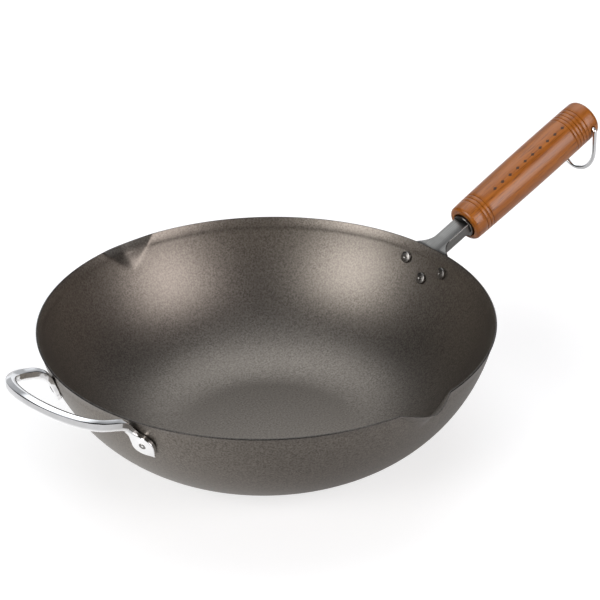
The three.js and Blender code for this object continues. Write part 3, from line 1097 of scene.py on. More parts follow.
@dataclass
class LongHandle:
    """Pressed bracket, ferrule, turned grip, tie rod with its nut, and hanging ring."""

    bowl: Bowl
    reach: float = 0.0323
    lift: float = 0.0064
    rise: float = 20.4
    seat_gap: float = 0.0003
    bracket_sheet: float = 0.0015
    shank_width: float = 0.0133
    roof_edge: float = 0.00425
    roof_margin: float = 0.00039
    roof_dish: float = 0.0007
    roof_columns: int = 16
    wing_columns: int = 5
    cheek_bottom: float = -0.00295
    fold_radius: float = 0.0005
    fold_steps: int = 6
    flange_width: float = 0.052
    flange_foot: float = 0.018
    flange_tip: float = 0.0009
    flange_margin: float = 0.009
    flange_steps: int = 8
    flange_columns: int = 12
    foot_length: float = 0.003
    bend_setback: float = 0.0035
    bend_steps: int = 12
    shank_steps: int = 24
    wing_width: float = 0.058
    flare_lead: float = 0.0044
    flare_length: float = 0.0141
    flare_power: float = 2.6
    cheek_start: float = 0.0073
    edge_soft: float = 0.0003
    edge_facing: float = 0.5
    rivet_spread: float = 0.0347
    upper_rivet_drop: float = 0.0122
    lower_rivet_drop: float = 0.0217
    ferrule_depth: float = 0.007
    ferrule_floor: float = 0.002
    ferrule_inner: float = 0.00805
    ferrule_outer: float = 0.0084
    ferrule_proud: float = 0.0014
    ferrule_round: float = 0.0007
    ferrule_roll: float = -60.0
    ferrule_steps: int = 5
    ferrule_soft: float = 0.00021
    ferrule_face: float = 0.0008
    face_overlap: float = 0.0001
    face_set_back: float = 0.00028
    ferrule_sides: int = 96
    slot_gap: float = 0.0004
    socket_drop: float = 0.0005
    grip_length: float = 0.130
    grip_front: float = 0.0271
    grip_butt: float = 0.0286
    grip_belly: float = 0.00065
    front_round: float = 0.0025
    front_steps: int = 7
    butt_round: float = 0.004
    butt_steps: int = 9
    hole_radius: float = 0.0094
    hole_chamfer: float = 0.0005
    chamfer_break: float = 0.00015
    hole_depth: float = 0.0094
    drill_radius: float = 0.0022
    drill_sides: int = 28
    groove_width: float = 0.0007
    groove_depth: float = 0.0005
    groove_section: tuple[Pair, ...] = (
        (-0.5, 0.0), (-0.36, 0.12), (-0.12, 0.85), (0.0, 1.0), (0.12, 0.85), (0.36, 0.12), (0.5, 0.0))
    front_grooves: tuple[int, float, float] = (3, 0.0102, 0.0031)
    butt_grooves: tuple[int, float, float] = (5, 0.012, 0.0032)
    grip_sides: int = 112
    belly_steps: int = 28
    rod_radius: float = 0.002
    rod_tip: float = 0.001
    rod_lead: float = 0.012
    rod_sides: int = 32
    thread_pitch: float = 0.0007
    thread_depth: float = 0.0003
    thread_length: float = 0.0056
    thread_runout: float = 0.0002
    thread_steps: int = 6
    washer_radius: float = 0.0045
    washer_thickness: float = 0.0008
    washer_soft: float = 0.00012
    washer_sides: int = 56
    nut_flats: float = 0.007
    nut_face: float = 0.00343
    nut_gap: float = 0.0001
    nut_sides: int = 72
    nut_height: float = 0.0032
    nut_sink: float = 0.0015
    nut_chamfer: float = 0.0005
    ring_wire: float = 0.0028
    ring_inset: float = 0.0077
    ring_side_gap: float = 0.0005
    ring_engagement: float = 0.0046
    ring_bend: float = 0.0025
    ring_leg: float = 0.0165
    ring_bow: float = 0.0178
    ring_bend_steps: int = 8
    ring_leg_steps: int = 6
    ring_bow_steps: int = 24
    ring_sides: int = 20

    def handle_frame(self) -> Matrix:
        """Gives the handle's frame: X along the grip from its front, Z up."""
        front = Matrix.Translation((self.bowl.rim_radius + self.reach, 0, self.bowl.height + self.lift))
        return front @ Matrix.Rotation(-math.radians(self.rise), 4, "Y")

    def grip_radius(self, station: float) -> float:
        """Gives the radius of the turned grip.

        Args:
            station: distance from the grip's front.

        Returns:
            The radius there.
        """
        share = station / self.grip_length
        taper = (self.grip_front + (self.grip_butt - self.grip_front) * share) / 2
        return taper + 4 * self.grip_belly * share * (1 - share)

    def bend_path(self, from_wall: float, above_axis: float) -> list[Vector]:
        """Draws one face of the bent plate in the plane y = 0, in the handle's frame.

        Args:
            from_wall: distance of the plate's upright part from the lip.
            above_axis: height of the plate's long part above the handle's axis.

        Returns:
            Points from the plate's foot on the wall to the end of the shank.
        """
        bowl = self.bowl
        lip = math.atan2(bowl.lip_height, bowl.lip_flare)
        along_lip = Vector((math.cos(lip), 0, math.sin(lip)))
        foot = Vector((bowl.rim_radius - bowl.lip_flare + from_wall * math.sin(lip), 0,
                       bowl.height - bowl.lip_height - from_wall * math.cos(lip)))
        to_handle = self.handle_frame().inverted()
        foot = to_handle @ foot
        upward = to_handle.to_3x3() @ along_lip
        corner = foot + upward * ((above_axis - foot.z) / upward.z)
        start = corner - upward * self.bend_setback
        end = corner + Vector((self.bend_setback, 0, 0))
        path = [start - upward * self.foot_length]
        path += bent(start, corner, end, self.bend_steps)
        shank = Vector((self.ferrule_depth - self.seat_gap - end.x, 0, 0))
        return path + [end + shank * (step / self.shank_steps) for step in range(1, self.shank_steps + 1)]

    def corner_station(self) -> float:
        """Gives the station of the bend's outer corner."""
        path = self.bend_path(self.seat_gap, self.roof_edge)
        return path[1 + self.bend_steps].x - self.bend_setback

    def roof_half(self) -> float:
        """Gives half the width of the shank's roof between its folds."""
        return self.shank_width / 2 - self.fold_radius

    def dish(self, y: float) -> float:
        """Gives how far the roof sinks below its folded edges at a distance from its middle line."""
        share = min(abs(y) / self.roof_half(), 1.0)
        return self.roof_dish * (1 - share * share)

    def plate_half_width(self, station: float) -> float:
        """Gives the plate's half width, wide on the wall and drawn in to the shank.

        Args:
            station: place along the handle.

        Returns:
            The half width there.
        """
        corner = self.corner_station()
        wide, narrow = self.wing_width / 2, self.roof_half() + self.roof_margin
        start, end = corner - self.flare_lead, corner + self.flare_length
        share = min(max((station - start) / (end - start), 0.0), 1.0)
        return narrow + (wide - narrow) * (1 - share)**self.flare_power

    def plate(self) -> Mesh:
        """Builds the plate that leaves the wall, bends beside the rim and runs on as the shank's dished roof.

        Returns:
            The mesh, with its sheared edges marked for the second finish.
        """
        sheet = self.bracket_sheet
        tops = self.bend_path(self.seat_gap, self.roof_edge)
        bottoms = self.bend_path(self.seat_gap + sheet, self.roof_edge - sheet)
        corner = self.corner_station()
        radius = self.bowl.rim_radius
        inward = self.handle_frame().inverted().to_3x3() @ Vector((-1, 0, 0))
        roof = self.roof_half()
        roof_places = [roof * (2 * column / self.roof_columns - 1) for column in range(self.roof_columns + 1)]
        rings = []
        for top, bottom in zip(tops, bottoms):
            half = self.plate_half_width(top.x)
            hug = 1 - smooth_step(corner - self.flare_lead, corner + self.flare_length, top.x)
            rise = smooth_step(corner - self.bend_setback, corner + self.bend_setback, top.x)
            up = (top - bottom).normalized()
            reach = half - self.edge_soft - roof
            wing = [roof + reach * (column + 1) / self.wing_columns for column in range(self.wing_columns)]
            places = [-y for y in reversed(wing)] + roof_places + wing
            sunk = [(y, up * (-self.dish(y) * rise)) for y in places]
            ring = [self.hugged(top + sink, y, hug, radius, inward) for y, sink in sunk]
            ring.append(self.hugged(top - up * self.edge_soft, half, hug, radius, inward))
            ring += [self.hugged(bottom + sink, y, hug, radius, inward) for y, sink in reversed(sunk)]
            ring.append(self.hugged(top - up * self.edge_soft, -half, hug, radius, inward))
            rings.append(ring)
        mesh = loft(rings)
        mesh.normal_update()
        # Sideways edge faces take the second finish, whose darkness is partly painted shade.
        for face in mesh.faces:
            face.material_index = int(abs(face.normal.y) > self.edge_facing)
        return mesh

    @staticmethod
    def hugged(point: Vector, y: float, hug: float, radius: float, inward: Vector) -> Vector:
        """Moves a point of the plate sideways, and in with the curve of the rim.

        Args:
            point: the point on the plate's centre line.
            y: how far it goes sideways.
            hug: share of the rim's curve that the plate follows there.
            radius: radius of the rim.
            inward: direction towards the bowl's centre.

        Returns:
            The point's place.
        """
        sag = radius - math.sqrt(radius * radius - y * y)
        return point + Vector((0, y, 0)) + inward * (sag * hug)

    def cheek(self, side: Side) -> Mesh:
        """Builds one folded-down cheek of the shank.

        Args:
            side: the side of the pan that the cheek is on.

        Returns:
            The mesh.
        """
        half, edge, sheet, fold = self.shank_width / 2, self.roof_edge, self.bracket_sheet, self.fold_radius
        bottom, soft = self.cheek_bottom, self.edge_soft
        section = [(half - fold, edge - sheet)]
        section += rounded((half - fold, edge - fold), fold, 90, 0, self.fold_steps)
        section += [(half, bottom + soft), (half - soft, bottom), (half - sheet, bottom),
                    (half - sheet, edge - sheet)]
        start = self.corner_station() + self.cheek_start
        end = self.ferrule_depth - self.seat_gap
        return loft([[Vector((station, side.value * y, z)) for y, z in section] for station in (start, end)])

    def flange_edge(self) -> list[Vector]:
        """Draws the left half of the flange's edge.

        Returns:
            (half width, height) points from the flange's top to its foot.
        """
        bowl = self.bowl
        top = bowl.height - bowl.lip_height / 2
        upper, lower = bowl.height - self.upper_rivet_drop, bowl.height - self.lower_rivet_drop
        low = lower - self.flange_margin
        wide, foot = self.flange_width / 2, self.flange_foot / 2
        shoulder, heel = Vector((wide, upper)), Vector((foot, low + foot / 2))
        bends = ((Vector((self.shank_width, top)), Vector((wide, top)), shoulder),
                 (shoulder, Vector((wide, lower)), heel),
                 (heel, Vector((foot / 2, low)), Vector((self.flange_tip, low))))
        edge = [bends[0][0]]
        for bend in bends:
            edge += bent(*bend, self.flange_steps)[1:]
        return edge

    def flange_layer(self, mesh: Mesh, depth: float, inset: float) -> list[list[Any]]:
        """Adds the corners of one layer of the flange to a mesh.

        Args:
            mesh: the mesh.
            depth: the layer's distance from the wall.
            inset: how far the layer's edge lies inside the flange's edge.

        Returns:
            The corners in rows, from the flange's top to its foot.
        """
        edge = self.flange_edge()
        heights = [place.y for place in edge]
        heights[0] -= inset
        heights[-1] += inset
        grid = []
        for place, height in zip(edge, heights):
            row = []
            for column in range(self.flange_columns + 1):
                y = (place.x - inset) * (2 * column / self.flange_columns - 1)
                here = self.bowl.wall_frame(math.asin(y / self.bowl.wall_at(height)[0]), height)
                row.append(mesh.verts.new(here @ Vector((depth, 0, 0))))
            grid.append(row)
        return grid

    def flange(self) -> Mesh:
        """Builds the riveted flange, which follows the outside of the wall.

        Returns:
            The mesh.
        """
        mesh = bmesh.new()
        face = self.seat_gap + self.bracket_sheet
        layers = ((self.seat_gap, 0.0), (face - self.edge_soft, 0.0), (face, self.edge_soft))
        grids = [self.flange_layer(mesh, depth, inset) for depth, inset in layers]
        for grid in (grids[0], grids[-1]):
            for near, far in zip(grid, grid[1:]):
                skin(mesh, near, far)
        for inner, outer in zip(grids, grids[1:]):
            skin(mesh, self.border(inner), self.border(outer))
        bmesh.ops.recalc_face_normals(mesh, faces=mesh.faces)
        mesh.transform(self.handle_frame().inverted())
        return mesh

    @staticmethod
    def border(grid: Sequence[Sequence[Any]]) -> list[Any]:
        """Lists the corners round a grid.

        Args:
            grid: rows of corners.

        Returns:
            The corners in order, from the first one round to the same one again.
        """
        right = [row[-1] for row in grid[1:-1]]
        left = [row[0] for row in reversed(grid[:-1])]
        return [*grid[0], *right, *reversed(grid[-1]), *left]

    def build_bracket(self, steel: Material, cut: Material) -> None:
        """Builds and dresses the bracket.

        Args:
            steel: finish of the bracket.
            cut: finish of its sheared edges, dark partly with painted shade.
        """
        whole = joined([self.plate(), self.cheek(Side.LEFT), self.cheek(Side.RIGHT), self.flange()])
        Piece("pressed_bracket", whole, [steel, cut], Slot.PRESSED_STEEL, ["handle_bracket"],
              place=self.handle_frame()).install()

    def build_rivets(self, steel: Material) -> None:
        """Builds and dresses the three rivets that hold the bracket.

        Args:
            steel: finish of the rivets.
        """
        bowl, rivet = self.bowl, Rivet()
        upper, lower = bowl.height - self.upper_rivet_drop, bowl.height - self.lower_rivet_drop
        turn = math.asin(self.rivet_spread / 2 / bowl.wall_at(upper)[0])
        tail = rivet.domed_tail(self.seat_gap + self.bracket_sheet)
        places = {"handle_rivet_left": (turn, upper), "handle_rivet_right": (-turn, upper),
                  "handle_rivet_lower": (0.0, lower)}
        for name, (angle, height) in places.items():
            rivet.build(name, bowl.wall_frame(angle, height), -bowl.sheet, tail, steel)

    def in_slot(self, place: Vector) -> bool:
        """Tells whether a place on the ferrule's face is in the slot for the shank.

        Args:
            place: the place, seen from the middle of the ferrule.

        Returns:
            Whether it is in the slot.
        """
        gap = self.slot_gap
        if abs(place.y) > self.shank_width / 2 + gap:
            return False
        height = place.z - self.socket_drop
        return self.cheek_bottom - gap < height < self.roof_edge - self.dish(place.y) + gap

    def ferrule_front(self) -> Mesh:
        """Builds the ferrule's face, a disc with a slot for the shank, centred on the ferrule.

        Returns:
            The mesh.
        """
        inside = self.ferrule_inner + self.face_overlap
        front = Vector((self.face_set_back - self.ferrule_proud, 0, 0))
        back = front + Vector((self.ferrule_face, 0, 0))
        edge, slot = [], []
        for way in circle(0, [1.0] * self.ferrule_sides):
            edge.append(way * inside)
            slot.append(way * last_true(lambda reach: self.in_slot(way * reach), 0.0, inside - self.seat_gap))
        layers = ((edge, front), (slot, front), (slot, back), (edge, back), (edge, front))
        return closed_loft([[point + level for point in ring] for ring, level in layers])

    def build_ferrule(self, steel: Material) -> None:
        """Builds and dresses the ferrule.

        Args:
            steel: finish of the ferrule.
        """
        soft, corner = self.ferrule_soft, self.ferrule_round
        front, inner, outer = -self.ferrule_proud, self.ferrule_inner, self.ferrule_outer
        depth, back = self.ferrule_depth, self.ferrule_depth + self.ferrule_floor
        rod = self.rod_radius + self.socket_drop + self.seat_gap
        profile = [(rod, depth), (inner - corner, depth), (inner, depth - corner), (inner, front + corner)]
        profile += rounded((outer - corner, front + corner), corner, self.ferrule_roll, 0, self.ferrule_steps)
        profile += [(outer, back - soft), (outer - soft, back), (rod, back), (rod, depth)]
        whole = joined([turned(profile, self.ferrule_sides), self.ferrule_front()])
        place = self.handle_frame() @ Matrix.Translation((0, 0, -self.socket_drop))
        Piece("steel_ferrule", whole, [steel], Slot.PRESSED_STEEL, ["ferrule"], place=place).install()

    def groove_stations(self) -> list[float]:
        """Spreads the decorative grooves over the two ends of the grip.

        Returns:
            The stations of the grooves, from the front to the butt.
        """
        count, inset, pitch = self.front_grooves
        stations = [inset + pitch * index for index in range(count)]
        count, inset, pitch = self.butt_grooves
        stations += [self.grip_length - inset - pitch * index for index in reversed(range(count))]
        return stations

    def grip_profile(self) -> Profile:
        """Draws the grip's closed profile, from the recess in its butt round its outside and back.

        Returns:
            (radius, station) points.
        """
        length, front, butt = self.grip_length, self.front_round, self.butt_round
        front_radius, butt_radius = self.grip_radius(0), self.grip_radius(length)
        body = []
        for groove in self.groove_stations():
            for shift, depth in self.groove_section:
                station = groove + shift * self.groove_width
                body.append((self.grip_radius(station) - depth * self.groove_depth, station))
        for step in range(1, self.belly_steps):
            station = front + (length - front - butt) * step / self.belly_steps
            if all(abs(station - groove) > self.groove_width for groove in self.groove_stations()):
                body.append((self.grip_radius(station), station))
        body.sort(key=lambda point: point[1])
        rod, recess = self.rod_radius + self.seat_gap, self.washer_radius + self.seat_gap
        floor = self.washer_start() - self.seat_gap
        chamfer, soft = self.hole_chamfer, self.chamfer_break
        profile = [(rod, floor), (rod, self.hole_depth), (self.hole_radius, self.hole_depth),
                   (self.hole_radius, chamfer), (self.hole_radius + soft, soft),
                   (self.hole_radius + chamfer, 0)]
        profile += rounded((front_radius - front, front), front, -90, 0, self.front_steps)
        profile += body
        profile += rounded((butt_radius - butt, length - butt), butt, 0, 90, self.butt_steps)
        profile += [(recess + chamfer, length), (recess + soft, length - soft),
                    (recess, length - chamfer), (recess, floor), (rod, floor)]
        return profile

    def ring_drills(self) -> Mesh:
        """Builds the two drills that cut the ring's cross holes.

        Returns:
            The mesh.
        """
        drills = bmesh.new()
        hole = self.drill_radius
        station = self.grip_length - self.ring_inset
        depth = self.ring_engagement + self.seat_gap
        for side in Side:
            middle = Vector((station, side.value * self.grip_radius(station), 0))
            place = Matrix.Translation(middle) @ Matrix.Rotation(math.pi / 2, 4, "X")
            bmesh.ops.create_cone(drills, cap_ends=True, segments=self.drill_sides, radius1=hole,
                                  radius2=hole, depth=2 * depth, matrix=place)
        return drills

    def build_grip(self, wood: Material) -> None:
        """Builds and dresses the grip, with the two cross holes for the ring.

        Args:
            wood: finish of the grip.
        """
        mesh = turned(self.grip_profile(), self.grip_sides)
        mouth = self.hole_radius + self.hole_chamfer + WELD
        for vertex in mesh.verts:
            off_axis = math.hypot(vertex.co.y, vertex.co.z)
            at_front = vertex.co.x < self.hole_depth + self.seat_gap
            if at_front and self.washer_radius < off_axis < mouth:
                vertex.co.z -= self.socket_drop
        piece = Piece("turned_grip", mesh, [wood], Slot.TURNED_WOOD, ["wooden_grip"],
                      place=self.handle_frame()).install()
        data = mesh_data("ring_drills", self.ring_drills())
        drill = added("ring_drills", data)
        drill.matrix_world = self.handle_frame()
        cut = piece.modifiers.new("ring_holes", "BOOLEAN")
        cut.object = drill
        cut.solver = "EXACT"
        apply_modifiers(piece)
        bpy.data.objects.remove(drill)
        bpy.data.meshes.remove(data)

    def washer_start(self) -> float:
        """Gives the station of the washer's front face."""
        back = self.nut_sink + self.rod_tip + self.nut_height + self.washer_thickness + self.seat_gap
        return self.grip_length - back

    def rod(self) -> Mesh:
        """Builds the tie rod, with a thread at its far end.

        Returns:
            The mesh.
        """
        end = self.grip_length - self.nut_sink
        threaded = end - self.thread_length
        steps = round(self.thread_length / self.thread_pitch * self.thread_steps)
        stations = [-self.rod_lead, threaded - self.thread_runout]
        stations += [threaded + (end - threaded) * step / steps for step in range(steps + 1)]
        rings = []
        for station in stations:
            limit = self.rod_radius - max(0.0, station - end + self.rod_tip / 2)
            radii = []
            for side in range(self.rod_sides):
                turn = (station - threaded) / self.thread_pitch - side / self.rod_sides
                groove = self.thread_depth * abs(2 * (turn % 1) - 1) if station >= threaded else 0.0
                radii.append(min(self.rod_radius - groove, limit))
            rings.append(circle(station, radii))
        return loft(rings)

    def washer(self) -> Mesh:
        """Builds the washer, with softened edges.

        Returns:
            The mesh.
        """
        start, soft = self.washer_start(), self.washer_soft
        bore, rim = self.rod_radius + self.seat_gap, self.washer_radius
        back = start + self.washer_thickness
        profile = [(bore, start + soft), (bore + soft, start), (rim - soft, start), (rim, start + soft),
                   (rim, back - soft), (rim - soft, back), (bore + soft, back), (bore, back - soft),
                   (bore, start + soft)]
        return turned(profile, self.washer_sides)

    def nut(self) -> Mesh:
        """Builds the six-sided nut, with chamfered corners.

        Returns:
            The mesh.
        """
        start = self.washer_start() + self.washer_thickness + self.seat_gap
        end = start + self.nut_height
        chamfer, sixth = self.nut_chamfer, math.pi / 3
        bore = [self.rod_radius + self.nut_gap] * self.nut_sides
        face = [self.nut_face] * self.nut_sides
        hexagon = []
        for side in range(self.nut_sides):
            from_flat = (math.tau * side / self.nut_sides + sixth / 2) % sixth - sixth / 2
            hexagon.append(self.nut_flats / 2 / math.cos(from_flat))
        levels = ((start, bore), (start, face), (start + chamfer, hexagon), (end - chamfer, hexagon),
                  (end, face), (end, bore), (start, bore))
        return closed_loft([circle(station, radii) for station, radii in levels])

    def build_rod(self, steel: Material) -> None:
        """Builds and dresses the tie rod with its washer and nut.

        Args:
            steel: finish of the three pieces.
        """
        pieces = (("threaded_tie_rod", "tie_rod", self.rod()), ("flat_washer", "rod_washer", self.washer()),
                  ("hex_nut", "rod_nut", self.nut()))
        for name, node, mesh in pieces:
            Piece(name, mesh, [steel], Slot.PLATED_STEEL, [node], place=self.handle_frame()).install()

    def ring_path(self) -> list[Vector]:
        """Draws the ring's wire in the plane x = 0, hanging from its pivot at the origin.

        Returns:
            Points from the end in the right hole to the end in the left one.
        """
        station = self.grip_length - self.ring_inset
        half = self.grip_radius(station) + self.ring_side_gap + self.ring_wire / 2
        inner = self.grip_radius(station) - self.ring_engagement
        bend, leg, bow = self.ring_bend, self.ring_leg, self.ring_bow
        points = [(inner, 0.0)]
        points += rounded((half - bend, -bend), bend, 90, 0, self.ring_bend_steps)
        for step in range(1, self.ring_leg_steps):
            points.append((half, -bend - (leg - bend) * step / self.ring_leg_steps))
        for step in range(self.ring_bow_steps + 1):
            angle = math.radians(90 * step / self.ring_bow_steps)
            points.append((half * math.cos(angle), -leg - bow * math.sin(angle)))
        there = [Vector((0, -y, z)) for y, z in points]
        back = [Vector((0, y, z)) for y, z in reversed(points[:-1])]
        return there + back

    def build_ring(self, chrome: Material) -> None:
        """Builds and dresses the hanging ring.

        Args:
            chrome: finish of the ring.
        """
        path = self.ring_path()
        across = Vector((1, 0, 0))
        rings = []
        for point, along in zip(path, directions(path)):
            beside = along.cross(across)
            angles = (math.tau * side / self.ring_sides for side in range(self.ring_sides))
            rings.append([point + (across * math.cos(a) + beside * math.sin(a)) * (self.ring_wire / 2)
                          for a in angles])
        pivot = Matrix.Translation(frame["joints"][0]["pos_m"])
        Piece("wire_ring", loft(rings), [chrome], Slot.CHROME, ["hanging_ring"], Body.RING, pivot).install()

    def build(self, finishes: dict[Slot, Material], cut: Material) -> None:
        """Builds and dresses the whole handle.

        Args:
            finishes: the material of each slot.
            cut: finish of sheared edges, dark partly with painted shade.
        """
        self.build_bracket(finishes[Slot.PRESSED_STEEL], cut)
        self.build_rivets(finishes[Slot.RIVET_STEEL])
        self.build_ferrule(finishes[Slot.PRESSED_STEEL])
        self.build_grip(finishes[Slot.TURNED_WOOD])
        self.build_rod(finishes[Slot.PLATED_STEEL])
        self.build_ring(finishes[Slot.CHROME])


@dataclass
class HelperHandle:
    """Bent bar with bevelled edges, flattened into a riveted leaf at each end."""

    bowl: Bowl
    bar_width: float = 0.0064
    bar_height: float = 0.0074
    chamfer: float = 0.0009
    chamfer_face: float = 47.0
    keel: float = 0.0030
    roof_slope: float = 18.0
    bar_lean: float = 5.0
    corner_steps: int = 6
    span: float = 0.0836
    reach: float = 0.029
    neck: float = 0.0106
    lift: float = 0.0039
    rise: float = 0.0117
    dish: float = 0.23
    pad_turn: float = 18.3
    pad_drop: float = 0.0162
    pad_width: float = 0.0168
    pad_above: float = 0.011
    pad_below: float = 0.0105
    pad_shares: tuple[float, ...] = (-1.0, -0.93, -0.75, -0.5, -0.25, 0.0, 0.3, 0.6)
    pad_narrowing: float = 0.01265
    bar_onset: Pair = (0.01548, 0.037625)
    pad_tilt: float = 32.0
    pad_thickness: float = 0.003
    pad_bevel: float = 0.0006
    bevel_limit: float = 0.8
    pad_tip: float = 0.0005
    tip_thin: float = 0.62
    tip_length: float = 0.00525
    seat_gap: float = 0.0003
    leg_points: tuple[tuple[float, float, float], ...] = (
        (0.1460, 0.0410, 0.0796), (0.1495, 0.0413, 0.0836), (0.1547, 0.0421, 0.0865))
    loop_steps: int = 18
    path_steps: int = 5

    def pad_frame(self, side: Side) -> Matrix:
        """Gives a pad's frame: X out of the wall, Z up along the leaf.

        Args:
            side: the side of the pan that the pad is on.

        Returns:
            The frame, at the rivet on the outer wall.
        """
        angle = math.pi - side.value * math.radians(self.pad_turn)
        wall = self.bowl.wall_frame(angle, self.bowl.height - self.pad_drop)
        return wall @ Matrix.Rotation(-side.value * math.radians(self.pad_tilt), 4, "X")

    def pad_points(self, side: Side) -> list[Vector]:
        """Draws the middle of a pad, following the wall.

        Args:
            side: the side of the pan that the pad is on.

        Returns:
            Points from the pad's tip to its top.
        """
        frame_here = self.pad_frame(side)
        middle = self.seat_gap + self.pad_thickness / 2
        points = []
        for share in self.pad_shares:
            length = share * (self.pad_below if share < 0 else self.pad_above)
            plain = frame_here @ Vector((0, 0, length))
            radius, slope = self.bowl.wall_at(min(plain.z, self.bowl.height - self.bowl.lip_height))
            outward = Vector((plain.x, plain.y, 0)).normalized()
            place = outward * (radius + middle * math.sin(slope))
            points.append(Vector((place.x, place.y, plain.z - middle * math.cos(slope))))
        return points

    def path(self) -> tuple[list[Vector], list[float], list[float]]:
        """Draws the bar's middle from the right pad's tip round the loop to the left pad's tip.

        Returns:
            The path's points, how far each is from the nearer pad's tip along the path, and each point's
            share of the bar's section, 0 on a pad and 1 on the loop.
        """
        bowl = self.bowl
        loop = []
        for step in range(self.loop_steps + 1):
            turn = math.pi * step / self.loop_steps
            out = math.sin(turn)
            climb = out + (out * out - out) * self.dish
            loop.append(Vector((-bowl.rim_radius - self.neck - self.reach * out,
                                -self.span / 2 * math.cos(turn),
                                bowl.height + self.lift + self.rise * climb)))
        right = self.pad_points(Side.RIGHT) + [Vector((-x, -y, z)) for x, y, z in self.leg_points]
        left = [Vector((point.x, -point.y, point.z)) for point in reversed(right)]
        path = through(right + loop + left, self.path_steps)
        lengths = [0.0]
        for near, far in zip(path, path[1:]):
            lengths.append(lengths[-1] + (far - near).length)
        tip_distance = [min(length, lengths[-1] - length) for length in lengths]
        shares = [smooth_step(*self.bar_onset, distance) for distance in tip_distance]
        return path, tip_distance, shares

    def leaf_half_width(self, distance: float) -> float:
        """Gives a pad's half width.

        Args:
            distance: distance from the pad's tip.

        Returns:
            The half width there.
        """
        wide = self.pad_width / 2
        if distance < self.pad_below:
            share = 1 - distance / self.pad_below
            return max(wide * math.cos(share * math.pi / 2), self.pad_tip)
        share = (distance - self.pad_below) / self.pad_narrowing
        return wide + (self.bar_width / 2 - wide) * smooth_step(0, 1, share)

    def section(self, half_width: float, half_height: float, chamfer: float, keel: float,
                slope: float) -> list[Vector]:
        """Gives the bar's section as (outer side, underside) points.

        Args:
            half_width: half the size across the loop.
            half_height: half the size from the ridge on top to the underside.
            chamfer: width of the two flats between the top and the sides.
            keel: radius of the two lower corners.
            slope: slope of the two halves of the top, in radians.

        Returns:
            The section's points, from the ridge round the outer side.
        """
        face = math.radians(self.chamfer_face)
        eave = half_width - chamfer * math.cos(face)
        high = -half_height + eave * math.tan(slope)
        outer = [Vector((eave, high)), Vector((half_width, high + chamfer * math.sin(face)))]
        corner = rounded((half_width - keel, half_height - keel), keel, 0, 90, self.corner_steps)
        outer += [Vector(point) for point in corner]
        inner = [Vector((-across, under)) for across, under in reversed(outer)]
        return [Vector((0, -half_height)), *outer, *inner]

    def build(self, chrome: Material, steel: Material) -> None:
        """Builds and dresses the helper handle and its two rivets.

        Args:
            chrome: finish of the bar.
            steel: finish of the rivets.
        """
        path, tip_distance, shares = self.path()
        rings = []
        for point, along, distance, share in zip(path, directions(path), tip_distance, shares):
            side = Side.LEFT if point.y > 0 else Side.RIGHT
            off_wall = self.pad_frame(side).to_3x3() @ Vector((1, 0, 0))
            lean = math.radians(self.bar_lean)
            under = -Vector((math.sin(lean), 0, math.cos(lean)))
            down = off_wall.lerp(under, share)
            down = (down - along * down.dot(along)).normalized()
            outer = along.cross(down)
            half_width = self.leaf_half_width(distance)
            half_width += (self.bar_width / 2 - half_width) * share
            half_height = (self.pad_thickness + (self.bar_height - self.pad_thickness) * share) / 2
            thin = self.tip_thin + (1 - self.tip_thin) * smooth_step(0, self.tip_length, distance)
            bevel = min(self.pad_bevel, half_width * self.bevel_limit)
            chamfer = bevel + (self.chamfer - bevel) * share
            keel = bevel + (self.keel - bevel) * share
            slope = math.radians(self.roof_slope) * share
            outline = self.section(half_width, half_height * thin, chamfer, keel, slope)
            rings.append([point + outer * across + down * through_plane for across, through_plane in outline])
        Piece("bent_bar", loft(rings), [chrome], Slot.CHROME, ["helper_handle"], flat_facets=True).install()
        rivet = Rivet()
        tail = rivet.flush_tail(self.seat_gap + self.pad_thickness)
        for side, name in ((Side.LEFT, "helper_rivet_left"), (Side.RIGHT, "helper_rivet_right")):
            rivet.build(name, self.pad_frame(side), -self.bowl.sheet, tail, steel)


# Stage

def looking(azimuth: float, elevation: float) -> tuple[Vector, Vector, Vector]:
    """Gives a direction and the two directions across it.

    Args:
        azimuth: angle round Z in degrees.
        elevation: angle above the floor in degrees.

    Returns:
        The direction, the level one across it and the upright one across it.
    """
    turn, climb = math.radians(azimuth), math.radians(elevation)
    ahead = Vector((math.cos(climb) * math.cos(turn), math.cos(climb) * math.sin(turn), math.sin(climb)))
    level = Vector((-math.sin(turn), math.cos(turn), 0))
    return ahead, level, ahead.cross(level)


@dataclass(frozen=True)
class Softbox:
    """Soft-edged rectangle of light far off in the surroundings.

    Angles are in degrees, and the half sizes are tangents of angles seen from the pan.
    """

    azimuth: float
    elevation: float
    half_width: float
    half_height: float
    radiance: float
    colour: Colour = (1.0, 1.0, 1.0)
    edge: Pair = (0.7, 1.3)

    def share(self, nodes: Nodes, direction: Socket) -> Socket:
        """Gives how far a direction lies inside the rectangle.

        Args:
            nodes: the surroundings' node tree.
            direction: the direction looked up.

        Returns:
            A socket that is 1 in the middle and 0 outside.
        """
        axes = looking(self.azimuth, self.elevation)
        ahead, across, above = (nodes.measure("DOT_PRODUCT", direction, axis) for axis in axes)
        share = nodes.math("GREATER_THAN", ahead, 0.0)
        for place, half in ((across, self.half_width), (above, self.half_height)):
            away = nodes.math("ABSOLUTE", nodes.math("DIVIDE", place, ahead))
            inside = nodes.spread(away, half * self.edge[0], half * self.edge[1], 1, 0)
            share = nodes.math("MULTIPLY", share, inside)
        return share

    def light(self) -> Colour:
        """Gives the light that the rectangle sends out."""
        red, green, blue = self.colour
        return red * self.radiance, green * self.radiance, blue * self.radiance


